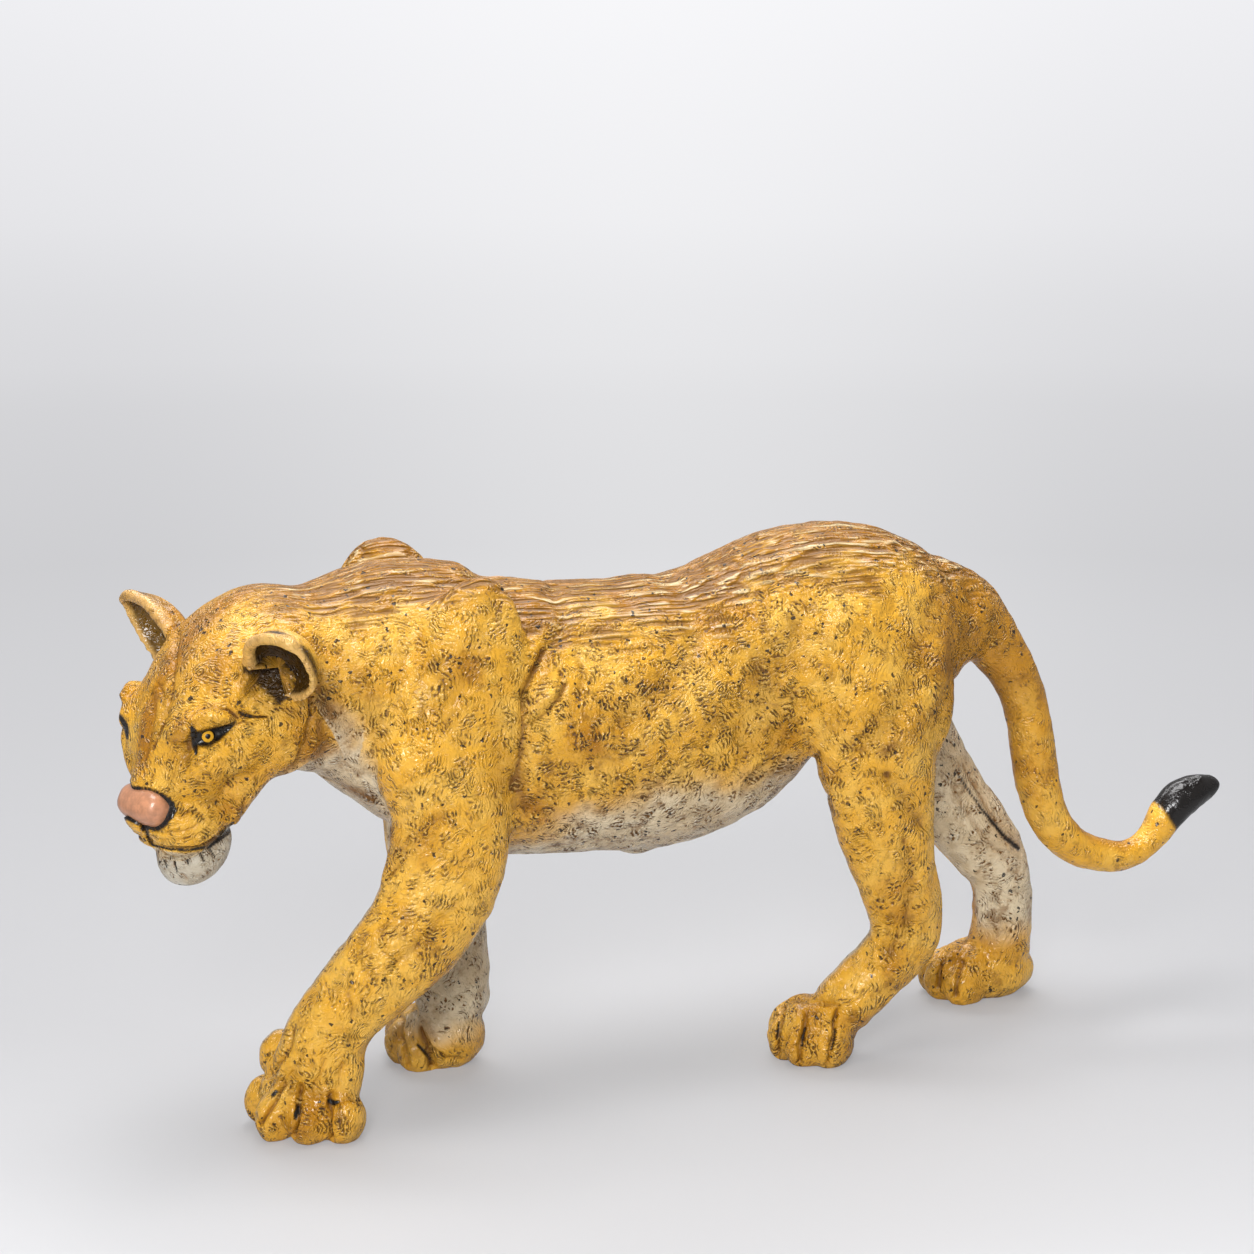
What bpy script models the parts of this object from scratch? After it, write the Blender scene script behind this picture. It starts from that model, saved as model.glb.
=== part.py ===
"""A toy lioness on the prowl, moulded in soft PVC: ten keyed and glued mouldings, in metres, +Z up.

The nose points to -X and the photographed left flank to -Y. The figure is drawn on a grid: tables
give places and radii as shares of it, and the driving sizes set the grid's step along each axis.
"""
from math import cos, pi, radians, sin

import bmesh
import bpy
from mathutils import Matrix, Vector

# Driving sizes of the figure
BODY_LENGTH = 0.100        # breast to buttock
BODY_WIDTH = 0.029         # across the ribs
CROUP_HEIGHT = 0.073       # floor to the highest point of the back
HEAD_LENGTH = 0.034        # nose to the back of the skull
LEG_THICKNESS = 0.0100     # across a wrist
PAW_LENGTH = 0.0150        # a sole, heel to toes
TAIL_THICKNESS = 0.0064    # halfway down the tail

# Ears: thin cups, each the back half of a hollow egg
EAR_WIDTH = 0.0078
EAR_RISE = 0.0072
EAR_DEPTH = 0.0042
EAR_WALL = 0.0011
EAR_LIP = 0.0004            # how far the cup reaches past the egg's middle

# Keyed pegs that seat in sockets, and the clearance round them
FIT_GAP = 0.0003
PEG_SINK = 0.0015
LEG_PEG_WIDTH = 0.0070
LEG_PEG_LENGTH = 0.0034
HEAD_PEG_WIDTH = 0.0100
HEAD_PEG_LENGTH = 0.0070
TAIL_PEG_WIDTH = 0.0042
TAIL_PEG_LENGTH = 0.0060
JAW_PEG_WIDTH = 0.0030
JAW_PEG_LENGTH = 0.0022
EAR_PEG_WIDTH = 0.0024
EAR_PEG_LENGTH = 0.0026
PEG_TAPER_SHARE = 0.85
PEG_FLAT_SHARE = 0.55

# How finely the sculpt is worked
SKIN_STEP = 0.0008
HEAD_STEP = 0.0005
SEAM_STEP = 0.0012
SKIN_ROUNDS = 5
HEAD_ROUNDS = 5
SEAM_ROUNDS = 4
SMOOTHING_SHARE = 0.5
SKIN_KEEP_SHARE = 0.07
HEAD_KEEP_SHARE = 0.07
SEAM_KEEP_SHARE = 0.06
TAIL_KEEP_SHARE = 0.10
RING_SIDES = 24
STEPS_BETWEEN_ROWS = 4
DOME_SHARES = (0.33, 0.67, 0.94)
PEG_SIDES = 16
EGG_SIDES = 18
EGG_RINGS = 10
CUT_OVERRUN = 0.0300

# What the driving sizes measure on the drawing, as shares of its grid
BODY_LENGTH_SHARE = 1.0
BODY_WIDTH_SHARE = 0.29
CROUP_HEIGHT_SHARE = 0.73
HEAD_LENGTH_SHARE = 0.34
WRIST_SHARE = 0.100
PAW_LENGTH_SHARE = 0.15
TAIL_MIDDLE_SHARE = 0.064

X_STEP = BODY_LENGTH / BODY_LENGTH_SHARE
Y_STEP = BODY_WIDTH / BODY_WIDTH_SHARE
Z_STEP = CROUP_HEIGHT / CROUP_HEIGHT_SHARE
BODY_GRID = Matrix.Diagonal((X_STEP, Y_STEP, Z_STEP, 1))
LEG_GIRTH = LEG_THICKNESS / (WRIST_SHARE * X_STEP)
TAIL_GIRTH = TAIL_THICKNESS / (TAIL_MIDDLE_SHARE * X_STEP)
PAW_SCALE = PAW_LENGTH / (PAW_LENGTH_SHARE * X_STEP)

# Each row of a limb: x, y, z of its middle, its radius along its bend and its radius sideways
TRUNK_SHARES = (
    (-0.430, 0.000, 0.570, 0.114, 0.100), (-0.385, 0.000, 0.556, 0.134, 0.118),
    (-0.320, 0.000, 0.536, 0.160, 0.133), (-0.240, 0.000, 0.510, 0.177, 0.142),
    (-0.160, 0.000, 0.496, 0.180, 0.146), (-0.080, 0.000, 0.491, 0.180, 0.146),
    (0.000, 0.000, 0.491, 0.184, 0.142), (0.070, 0.000, 0.506, 0.179, 0.135),
    (0.140, 0.000, 0.546, 0.158, 0.130), (0.200, 0.000, 0.580, 0.144, 0.126),
    (0.270, 0.000, 0.590, 0.138, 0.122), (0.340, 0.000, 0.584, 0.122, 0.110),
    (0.400, 0.000, 0.578, 0.098, 0.090), (0.440, 0.000, 0.582, 0.068, 0.064),
)
NECK_SHARES = (
    (-0.290, 0.000, 0.588, 0.128, 0.110), (-0.360, 0.000, 0.577, 0.139, 0.120),
    (-0.430, -0.008, 0.574, 0.125, 0.108), (-0.500, -0.018, 0.575, 0.109, 0.097),
    (-0.550, -0.030, 0.574, 0.098, 0.090),
)
LEFT_FORELEG_SHARES = (
    (-0.285, -0.085, 0.640, 0.068, 0.044), (-0.298, -0.098, 0.560, 0.078, 0.053),
    (-0.302, -0.105, 0.450, 0.077, 0.054), (-0.305, -0.108, 0.355, 0.077, 0.051),
    (-0.335, -0.108, 0.280, 0.072, 0.049), (-0.385, -0.106, 0.222, 0.063, 0.046),
    (-0.430, -0.098, 0.178, 0.055, 0.043), (-0.458, -0.086, 0.135, 0.054, 0.043),
    (-0.471, -0.076, 0.090, 0.058, 0.045),
)
RIGHT_FORELEG_SHARES = (
    (-0.300, 0.085, 0.640, 0.072, 0.044), (-0.285, 0.098, 0.540, 0.077, 0.053),
    (-0.272, 0.102, 0.440, 0.071, 0.052), (-0.268, 0.100, 0.340, 0.066, 0.047),
    (-0.262, 0.098, 0.260, 0.063, 0.044), (-0.252, 0.098, 0.190, 0.058, 0.043),
    (-0.246, 0.098, 0.140, 0.053, 0.043), (-0.246, 0.098, 0.090, 0.051, 0.045),
)
LEFT_HIND_LEG_SHARES = (
    (0.290, -0.070, 0.620, 0.090, 0.050), (0.278, -0.090, 0.540, 0.102, 0.055),
    (0.282, -0.100, 0.460, 0.090, 0.053), (0.293, -0.100, 0.390, 0.080, 0.048),
    (0.307, -0.094, 0.320, 0.069, 0.043), (0.324, -0.088, 0.260, 0.058, 0.039),
    (0.344, -0.080, 0.200, 0.055, 0.036), (0.342, -0.074, 0.155, 0.050, 0.036),
    (0.307, -0.066, 0.113, 0.044, 0.039), (0.264, -0.060, 0.072, 0.042, 0.043),
)
RIGHT_HIND_LEG_SHARES = (
    (0.330, 0.070, 0.600, 0.090, 0.050), (0.350, 0.088, 0.520, 0.097, 0.054),
    (0.390, 0.096, 0.440, 0.090, 0.052), (0.438, 0.096, 0.370, 0.074, 0.047),
    (0.490, 0.090, 0.300, 0.060, 0.042), (0.538, 0.085, 0.240, 0.057, 0.039),
    (0.573, 0.084, 0.185, 0.047, 0.037), (0.580, 0.086, 0.120, 0.044, 0.039),
    (0.578, 0.090, 0.065, 0.048, 0.045),
)
TAIL_ROOT_ROWS = 5
TAIL_SHARES = (
    (0.405, 0.000, 0.610, 0.064, 0.062), (0.440, 0.000, 0.607, 0.053, 0.052),
    (0.468, 0.000, 0.592, 0.047, 0.047), (0.497, 0.000, 0.558, 0.042, 0.042),
    (0.536, 0.000, 0.505, 0.035, 0.035), (0.562, 0.000, 0.448, 0.032, 0.032),
    (0.574, 0.000, 0.390, 0.033, 0.033), (0.584, 0.000, 0.335, 0.032, 0.032),
    (0.608, 0.000, 0.276, 0.030, 0.030), (0.655, 0.000, 0.234, 0.027, 0.027),
    (0.708, 0.000, 0.217, 0.024, 0.024), (0.748, 0.000, 0.222, 0.022, 0.022),
    (0.775, 0.000, 0.243, 0.023, 0.023), (0.795, 0.000, 0.271, 0.027, 0.027),
    (0.820, 0.000, 0.293, 0.028, 0.028), (0.846, 0.000, 0.303, 0.025, 0.025),
    (0.860, 0.000, 0.307, 0.018, 0.018),
)

# Each muscle or pad: its middle, its three radii, and its turns about X, Y and Z in degrees
MUSCLE_SHARES = (
    ((-0.278, -0.108, 0.590), (0.072, 0.042, 0.120), (0, 12, 0)),
    ((-0.322, 0.088, 0.605), (0.080, 0.044, 0.126), (0, -8, 0)),
    ((-0.330, -0.105, 0.480), (0.062, 0.050, 0.086), (0, 10, 0)),
    ((-0.345, 0.090, 0.470), (0.066, 0.050, 0.092), (0, 0, 0)),
    ((-0.365, 0.000, 0.494), (0.070, 0.092, 0.082), (0, 0, 0)),
    ((0.228, -0.090, 0.560), (0.080, 0.050, 0.117), (0, 14, 0)),
    ((0.325, -0.085, 0.520), (0.076, 0.048, 0.127), (0, -10, 0)),
    ((0.270, 0.090, 0.560), (0.094, 0.050, 0.117), (0, 14, 0)),
    ((0.365, 0.080, 0.530), (0.072, 0.045, 0.107), (0, -14, 0)),
    ((0.235, 0.000, 0.647), (0.117, 0.077, 0.080), (0, 4, 0)),
    ((0.030, 0.000, 0.350), (0.090, 0.060, 0.042), (0, -10, 0)),
)
LEFT_FORE_PAW_SHARES = (
    ((-0.478, -0.070, 0.044), (0.056, 0.047, 0.050), (0, 0, 38)),
    ((-0.526, -0.024, 0.030), (0.031, 0.025, 0.034), (0, 0, 30)),
    ((-0.523, -0.074, 0.025), (0.035, 0.026, 0.032), (0, 0, 38)),
    ((-0.488, -0.100, 0.025), (0.035, 0.026, 0.032), (0, 0, 48)),
    ((-0.448, -0.110, 0.026), (0.033, 0.027, 0.033), (0, 0, 60)),
    ((-0.510, -0.030, 0.094), (0.024, 0.020, 0.032), (0, 20, 0)),
)
RIGHT_FORE_PAW_SHARES = (
    ((-0.252, 0.094, 0.040), (0.054, 0.044, 0.047), (0, 0, 8)),
    ((-0.290, 0.088, 0.026), (0.037, 0.027, 0.034), (0, 0, 16)),
    ((-0.302, 0.118, 0.028), (0.033, 0.025, 0.035), (0, 0, 4)),
    ((-0.294, 0.147, 0.028), (0.033, 0.024, 0.035), (0, 0, -8)),
    ((-0.264, 0.160, 0.028), (0.036, 0.024, 0.033), (0, 0, -16)),
    ((-0.200, 0.098, 0.090), (0.016, 0.020, 0.020), (0, 0, 0)),
)
LEFT_HIND_PAW_SHARES = (
    ((0.230, -0.056, 0.040), (0.054, 0.046, 0.044), (0, 0, 12)),
    ((0.209, -0.012, 0.032), (0.036, 0.023, 0.037), (0, 0, 2)),
    ((0.193, -0.044, 0.028), (0.035, 0.024, 0.035), (0, 0, 10)),
    ((0.205, -0.074, 0.026), (0.037, 0.025, 0.034), (0, 0, 20)),
    ((0.236, -0.088, 0.026), (0.038, 0.024, 0.032), (0, 0, 30)),
)
RIGHT_HIND_PAW_SHARES = (
    ((0.570, 0.090, 0.036), (0.064, 0.046, 0.044), (0, 0, 6)),
    ((0.515, 0.064, 0.026), (0.038, 0.023, 0.034), (0, 0, 12)),
    ((0.496, 0.092, 0.028), (0.035, 0.024, 0.035), (0, 0, 4)),
    ((0.502, 0.121, 0.028), (0.035, 0.024, 0.035), (0, 0, -6)),
    ((0.530, 0.140, 0.026), (0.038, 0.023, 0.033), (0, 0, -14)),
)

# The head is drawn on its own grid: forwards, to its left and up, from between the eyes
CHIN = 2
EYES_SHARES = (-0.638, -0.065, 0.539)
HEAD_YAW = 20.0
HEAD_PITCH = 33.0
BRIDGE_SHARES = (
    (-0.070, 0.000, 0.020, 0.050, 0.060), (-0.010, 0.000, -0.012, 0.044, 0.042),
    (0.045, 0.000, -0.045, 0.037, 0.034), (0.082, 0.000, -0.062, 0.031, 0.033),
)
SKULL_SHARES = (
    (-0.220, 0.000, -0.040, 0.060, 0.080), (-0.165, 0.000, -0.018, 0.086, 0.104),
    (-0.105, 0.000, -0.006, 0.084, 0.110), (-0.055, 0.000, -0.003, 0.070, 0.098),
    (-0.012, 0.000, -0.012, 0.053, 0.082), (0.030, 0.000, -0.046, 0.044, 0.056),
    (0.070, 0.000, -0.062, 0.036, 0.042),
)
CHEEKBONE_SHARES = (
    (-0.120, 0.078, -0.046, 0.058, 0.034), (-0.060, 0.073, -0.038, 0.046, 0.032),
    (0.000, 0.066, -0.032, 0.036, 0.031), (0.035, 0.047, -0.054, 0.034, 0.027),
)
JAW_SHARES = (
    (-0.110, 0.064, -0.076, 0.042, 0.034), (-0.045, 0.055, -0.081, 0.034, 0.028),
    (0.020, 0.036, -0.112, 0.027, 0.025),
)
MIDDLE_OF_FACE_SHARES = (
    ((-0.130, 0.000, -0.040), (0.100, 0.096, 0.080), (0, 0, 0)),
    ((-0.040, 0.000, -0.075), (0.100, 0.060, 0.052), (0, 20, 0)),
    ((0.060, 0.000, -0.143), (0.050, 0.043, 0.036), (0, 12, 0)),
    ((0.090, 0.000, -0.061), (0.023, 0.037, 0.028), (0, 30, 0)),
)
SIDE_OF_FACE_SHARES = (
    ((-0.100, 0.062, -0.058), (0.078, 0.048, 0.070), (0, 0, 0)),
    ((0.050, 0.026, -0.094), (0.056, 0.041, 0.045), (0, 8, 0)),
    ((-0.018, 0.058, 0.016), (0.046, 0.037, 0.020), (0, 0, -24)),
)
EAR_PLACE_SHARES = (-0.096, 0.137, 0.035)
EAR_OPENING_SHARES = (0.96, 0.04, 0.27)
EAR_RISE_SHARES = (-0.18, 0.85, 0.49)

# Seams, on the body's grid and, for the mouth, on the head's
NECK_SEAM_SHARES = (-0.425, 0.000, 0.560)
NECK_SEAM_TURN = 6.0
NECK_SEAM_TILT = 4.0
TAIL_SEAM_SHARES = (0.515, 0.000, 0.533)
TAIL_SEAM_TILT = 54.0
TAIL_SEAM_WIDTH_SHARE = 1.7
NECK_SEAM_WIDTH_SHARE = 1.8
EAR_SEAM_WIDTH_SHARE = 3.0
FLOOR_REACH_SHARE = 2.0
MOUTH_SEAM_SHARES = (0.000, 0.000, -0.130)
MOUTH_SEAM_TILT = 0.0
HIGH_SEAM_SHARE = 0.50
LOW_SEAM_SHARE = 0.36
SEAM_OUT_SHARE = 0.38
SEAM_ROOM_SHARE = 0.020
SEAM_SIDE_ROOM_SHARE = 0.022
PAW_ROOM_SHARE = 0.068
SEAM_TOP_SHARE = 0.035

GOLD = (0.60, 0.34, 0.07, 1.0)
CREAM = (0.62, 0.55, 0.42, 1.0)
AMBER = (0.50, 0.25, 0.05, 1.0)
PAINT_ROUGHNESS = 0.38

figure = bpy.data.collections.new("toy_lioness")
cutters = bpy.data.collections.new("cutters")


def clear_scene():
    for thing in list(bpy.data.objects):
        bpy.data.objects.remove(thing, do_unlink=True)
    cutters.hide_render = True
    bpy.context.scene.collection.children.link(figure)
    bpy.context.scene.collection.children.link(cutters)


def paint(name, colour):
    material = bpy.data.materials.new(name)
    material.use_nodes = True
    shader = material.node_tree.nodes["Principled BSDF"]
    shader.inputs["Base Color"].default_value = colour
    shader.inputs["Roughness"].default_value = PAINT_ROUGHNESS
    shader.inputs["Metallic"].default_value = 0
    return material


def spline(rows):
    """The rows with smooth steps between them, along a Catmull-Rom curve."""
    smooth = []
    for i in range(len(rows) - 1):
        before, start = rows[max(i - 1, 0)], rows[i]
        end, after = rows[i + 1], rows[min(i + 2, len(rows) - 1)]
        for step in range(STEPS_BETWEEN_ROWS):
            t = step / STEPS_BETWEEN_ROWS
            smooth.append(tuple(
                (2 * b + (c - a) * t + (2 * a - 5 * b + 4 * c - d) * t ** 2
                 + (3 * b - a - 3 * c + d) * t ** 3) / 2
                for a, b, c, d in zip(before, start, end, after)))
    smooth.append(rows[-1])
    return smooth


def add_loft(mesh, rows, grid, girth=1.0):
    """Adds a closed limb of elliptical rings along the rows, with a domed end at each end."""
    rows = spline(rows)
    places = [Vector(row[:3]) for row in rows]
    sideways = Vector((0, 1, 0))
    rings = []
    for i, row in enumerate(rows):
        along = (places[min(i + 1, len(rows) - 1)] - places[max(i - 1, 0)]).normalized()
        across = along.cross(sideways).normalized()
        rings.append((places[i], across * row[3] * girth, sideways * row[4] * girth))
        if i in (0, len(rows) - 1):
            out = along * min(row[3], row[4]) * girth * (1 if i else -1)
            dome = [(places[i] + out * sin(turn), rings[-1][1] * cos(turn), rings[-1][2] * cos(turn))
                    for turn in (pi / 2 * share for share in DOME_SHARES)]
            rings[len(rings) - 1:] = [rings[-1]] + dome if i else dome[::-1] + [rings[-1]]
    loops = []
    for middle, across, side in rings:
        loops.append([mesh.verts.new(grid @ (
            middle + across * cos(turn) + side * sin(turn)))
            for turn in (2 * pi * k / RING_SIDES for k in range(RING_SIDES))])
    for first, second in zip(loops, loops[1:]):
        for k in range(RING_SIDES):
            mesh.faces.new((first[k], first[k - 1], second[k - 1], second[k]))
    mesh.faces.new(loops[0])
    mesh.faces.new(reversed(loops[-1]))


def turned(turns):
    x, y, z = (radians(angle) for angle in turns)
    return Matrix.Rotation(z, 4, "Z") @ Matrix.Rotation(y, 4, "Y") @ Matrix.Rotation(x, 4, "X")


def add_ball(mesh, middle, radii, turns, grid):
    place = grid @ Matrix.Translation(middle) @ turned(turns) @ Matrix.Diagonal((*radii, 1))
    bmesh.ops.create_icosphere(mesh, subdivisions=3, radius=1, matrix=place)


def add_paw(mesh, pads):
    """Adds a paw's pad and toes, which grow from the middle of the pad, down on the floor."""
    middle = Vector((pads[0][0][0], pads[0][0][1], 0))
    grid = BODY_GRID @ Matrix.Translation(middle) @ Matrix.Scale(PAW_SCALE, 4) @ Matrix.Translation(-middle)
    for place, radii, turns in pads:
        add_ball(mesh, place, radii, turns, grid)


def new_object(name, mesh, collection=cutters):
    bmesh.ops.recalc_face_normals(mesh, faces=mesh.faces)
    data = bpy.data.meshes.new(name)
    mesh.to_mesh(data)
    mesh.free()
    thing = bpy.data.objects.new(name, data)
    collection.objects.link(thing)
    if collection is cutters:
        thing.hide_render = True
        thing.display_type = "WIRE"
    return thing


def settled(thing):
    """The object with its modifiers worked into its mesh."""
    graph = bpy.context.evaluated_depsgraph_get()
    data = bpy.data.meshes.new_from_object(thing.evaluated_get(graph))
    thing.modifiers.clear()
    thing.data = data
    return thing


def blended(thing, step, rounds, keep_share):
    """Overlapping forms worked into one skin, smoothed and thinned out."""
    remesh = thing.modifiers.new("one_skin", "REMESH")
    remesh.mode = "VOXEL"
    remesh.voxel_size = step
    smooth = thing.modifiers.new("smooth", "SMOOTH")
    smooth.factor = SMOOTHING_SHARE
    smooth.iterations = rounds
    thin = thing.modifiers.new("thin_out", "DECIMATE")
    thin.ratio = keep_share
    thin.use_collapse_triangulate = True
    return settled(thing)


def boolean(thing, other, operation):
    cut = thing.modifiers.new(operation.lower() + "_" + other.name, "BOOLEAN")
    cut.operation = operation
    cut.object = other
    cut.solver = "EXACT"


def body_skin():
    mesh = bmesh.new()
    add_loft(mesh, TRUNK_SHARES, BODY_GRID)
    add_loft(mesh, NECK_SHARES, BODY_GRID)
    for rows, pads in LEGS.values():
        add_loft(mesh, rows, BODY_GRID, LEG_GIRTH)
        add_paw(mesh, pads)
    add_loft(mesh, TAIL_SHARES[:TAIL_ROOT_ROWS], BODY_GRID, TAIL_GIRTH)
    for middle, radii, turns in MUSCLE_SHARES:
        add_ball(mesh, middle, radii, turns, BODY_GRID)
    return blended(new_object("body_skin", mesh), SKIN_STEP, SKIN_ROUNDS, SKIN_KEEP_SHARE)


def head_grid():
    """Places the head's drawing: forwards, to its left and up, turned and bowed."""
    yaw, pitch = radians(HEAD_YAW), radians(HEAD_PITCH)
    forwards = Vector((-cos(yaw) * cos(pitch), -sin(yaw) * cos(pitch), -sin(pitch)))
    left = Vector((sin(yaw), -cos(yaw), 0))
    axes = Matrix((forwards, left, forwards.cross(left))).transposed().to_4x4()
    step = HEAD_LENGTH / HEAD_LENGTH_SHARE
    return Matrix.Translation(BODY_GRID @ Vector(EYES_SHARES)) @ axes @ Matrix.Scale(step, 4)


def mirrored(rows):
    return tuple((row[0], -row[1], *row[2:]) for row in rows)


def head_skin():
    grid = head_grid()
    mesh = bmesh.new()
    add_loft(mesh, NECK_SHARES, BODY_GRID)
    add_loft(mesh, SKULL_SHARES, grid)
    add_loft(mesh, BRIDGE_SHARES, grid)
    for rows in (CHEEKBONE_SHARES, JAW_SHARES):
        add_loft(mesh, rows, grid)
        add_loft(mesh, mirrored(rows), grid)
    for middle, radii, turns in MIDDLE_OF_FACE_SHARES:
        add_ball(mesh, middle, radii, turns, grid)
    for (x, y, z), radii, (roll, tilt, turn) in SIDE_OF_FACE_SHARES:
        for side in (1, -1):
            add_ball(mesh, (x, side * y, z), radii, (side * roll, tilt, side * turn), grid)
    return blended(new_object("head_skin", mesh), HEAD_STEP, HEAD_ROUNDS, HEAD_KEEP_SHARE)


def grown(thing, by):
    """A copy of a cutter whose skin stands out by the gap between two pieces."""
    wider = thing.copy()
    wider.data = thing.data.copy()
    wider.name = thing.name + "_grown"
    cutters.objects.link(wider)
    swell = wider.modifiers.new("grow", "DISPLACE")
    swell.strength = by
    swell.mid_level = 0
    return settled(wider)


def leg_seam(name, rows):
    """A soft form round a leg: slim at the hip or shoulder, and wide and deep at the paw."""
    wide = []
    for x, y, z, across, side in rows:
        high = min(max((z - LOW_SEAM_SHARE) / (HIGH_SEAM_SHARE - LOW_SEAM_SHARE), 0), 1)
        low = min(max((LOW_SEAM_SHARE - z) / LOW_SEAM_SHARE, 0), 1)
        wide.append((x, y * (1 + SEAM_OUT_SHARE * high), z,
                     across + SEAM_ROOM_SHARE + PAW_ROOM_SHARE * low,
                     side + SEAM_SIDE_ROOM_SHARE + PAW_ROOM_SHARE * low))
    x, y, z, across, side = wide[0]
    wide[0] = (x, y, z + SEAM_TOP_SHARE, across, side)
    x, y, z, across, side = wide[-1]
    wide.append((x, y, -z, across, side))
    mesh = bmesh.new()
    add_loft(mesh, wide, BODY_GRID, LEG_GIRTH)
    return blended(new_object(name + "_seam", mesh), SEAM_STEP, SEAM_ROUNDS, SEAM_KEEP_SHARE)


def block(name, place, turns, sides, gap=0):
    """A block from its corner at a place, reaching sides along +X and -Z and centred across Y."""
    mesh = bmesh.new()
    corners = bmesh.ops.create_cube(mesh, size=1)["verts"]
    bmesh.ops.scale(mesh, vec=sides, verts=corners)
    bmesh.ops.translate(mesh, vec=(sides[0] / 2 - gap, 0, gap - sides[2] / 2), verts=corners)
    bmesh.ops.transform(mesh, matrix=Matrix.Translation(place) @ turns, verts=corners)
    return new_object(name, mesh)


def half_space(name, place, turns, width, gap=0):
    """A block whose one face is centred on a seam, square to the turned X, with its bulk beyond it."""
    edge = place + turns.to_3x3() @ Vector((0, 0, width / 2))
    return block(name, edge, turns, (BODY_LENGTH, width, width), gap)


def peg(name, place, turns, width, length, gap=0):
    """A tapered peg along +X with one flat, so that a piece seats only one way; a gap makes its socket."""
    mesh = bmesh.new()
    long = PEG_SINK + length + gap
    wide = width / 2 + gap
    stem = bmesh.ops.create_cone(mesh, cap_ends=True, segments=PEG_SIDES, radius1=wide,
                                 radius2=wide * PEG_TAPER_SHARE, depth=long)["verts"]
    bmesh.ops.transform(mesh, matrix=Matrix.Rotation(pi / 2, 4, "Y"), verts=stem)
    bmesh.ops.translate(mesh, vec=(long / 2 - PEG_SINK, 0, 0), verts=stem)
    flat = Vector((0, 0, width / 2 * PEG_FLAT_SHARE + gap))
    cut = bmesh.ops.bisect_plane(mesh, geom=mesh.verts[:] + mesh.edges[:] + mesh.faces[:],
                                 plane_co=flat, plane_no=(0, 0, 1), clear_outer=True)
    rim = [edge for edge in cut["geom_cut"] if isinstance(edge, bmesh.types.BMEdge)]
    bmesh.ops.contextual_create(mesh, geom=rim)
    bmesh.ops.transform(mesh, matrix=Matrix.Translation(place) @ turns, verts=mesh.verts)
    return new_object(name, mesh)


def along(direction):
    """A turn that points +X along a direction."""
    return Vector(direction).to_track_quat("X", "Z").to_matrix().to_4x4()


def copy_of(name, skin):
    thing = bpy.data.objects.new(name, skin.data.copy())
    figure.objects.link(thing)
    return thing


def key_together(piece, carrier, place, turns, width, length):
    """Gives a piece its peg and the piece that carries it the matching socket."""
    boolean(piece, peg(piece.name + "_peg", place, turns, width, length), "UNION")
    boolean(carrier, peg(piece.name + "_socket", place, turns, width, length, FIT_GAP), "DIFFERENCE")


LEGS = {
    "left_foreleg": (LEFT_FORELEG_SHARES, LEFT_FORE_PAW_SHARES),
    "right_foreleg": (RIGHT_FORELEG_SHARES, RIGHT_FORE_PAW_SHARES),
    "left_hind_leg": (LEFT_HIND_LEG_SHARES, LEFT_HIND_PAW_SHARES),
    "right_hind_leg": (RIGHT_HIND_LEG_SHARES, RIGHT_HIND_PAW_SHARES),
}


def stand_flat(skin):
    """Cuts the soles flat, on the floor."""
    sides = (BODY_LENGTH * FLOOR_REACH_SHARE, BODY_LENGTH, CUT_OVERRUN)
    floor = block("floor", Vector((-BODY_LENGTH, 0, 0)), Matrix.Identity(4), sides)
    boolean(skin, floor, "DIFFERENCE")
    return settled(skin)


def make_legs(skin, trunk):
    for name, (rows, _) in LEGS.items():
        leg = copy_of(name, skin)
        seam = leg_seam(name, rows)
        boolean(leg, seam, "INTERSECT")
        boolean(trunk, grown(seam, FIT_GAP), "DIFFERENCE")
        x, y, z, _, side = rows[1]
        outwards = 1 if y > 0 else -1
        inner = y * (1 + SEAM_OUT_SHARE) - outwards * (side + SEAM_SIDE_ROOM_SHARE) * LEG_GIRTH
        face = BODY_GRID @ Vector((x, inner, z))
        key_together(leg, trunk, face, along((0, -outwards, 0)), LEG_PEG_WIDTH, LEG_PEG_LENGTH)
        leg.data.materials.append(bpy.data.materials["golden_paint"])


def make_tail(trunk):
    place = BODY_GRID @ Vector(TAIL_SEAM_SHARES)
    turns = turned((0, TAIL_SEAM_TILT, 0))
    mesh = bmesh.new()
    add_loft(mesh, TAIL_SHARES, BODY_GRID, TAIL_GIRTH)
    tail = blended(new_object("tail", mesh, figure), HEAD_STEP, HEAD_ROUNDS, TAIL_KEEP_SHARE)
    boolean(tail, half_space("tail_seam", place, turns, BODY_LENGTH), "INTERSECT")
    width = TAIL_THICKNESS * TAIL_SEAM_WIDTH_SHARE
    boolean(trunk, half_space("tail_seam_grown", place, turns, width, FIT_GAP), "DIFFERENCE")
    inwards = turns @ Matrix.Rotation(pi, 4, "Z")
    key_together(tail, trunk, place, inwards, TAIL_PEG_WIDTH, TAIL_PEG_LENGTH)
    tail.data.materials.append(bpy.data.materials["amber_paint"])


def make_head(skin, trunk):
    place = BODY_GRID @ Vector(NECK_SEAM_SHARES)
    turns = turned((0, NECK_SEAM_TILT, 180 + NECK_SEAM_TURN))
    width = HEAD_LENGTH * NECK_SEAM_WIDTH_SHARE
    head = copy_of("head", skin)
    boolean(head, half_space("neck_seam", place, turns, width), "INTERSECT")
    boolean(trunk, half_space("neck_seam_grown", place, turns, width, FIT_GAP), "DIFFERENCE")
    inwards = turns @ Matrix.Rotation(pi, 4, "Z")
    key_together(head, trunk, place, inwards, HEAD_PEG_WIDTH, HEAD_PEG_LENGTH)
    head.data.materials.append(bpy.data.materials["golden_paint"])
    return head


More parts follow.
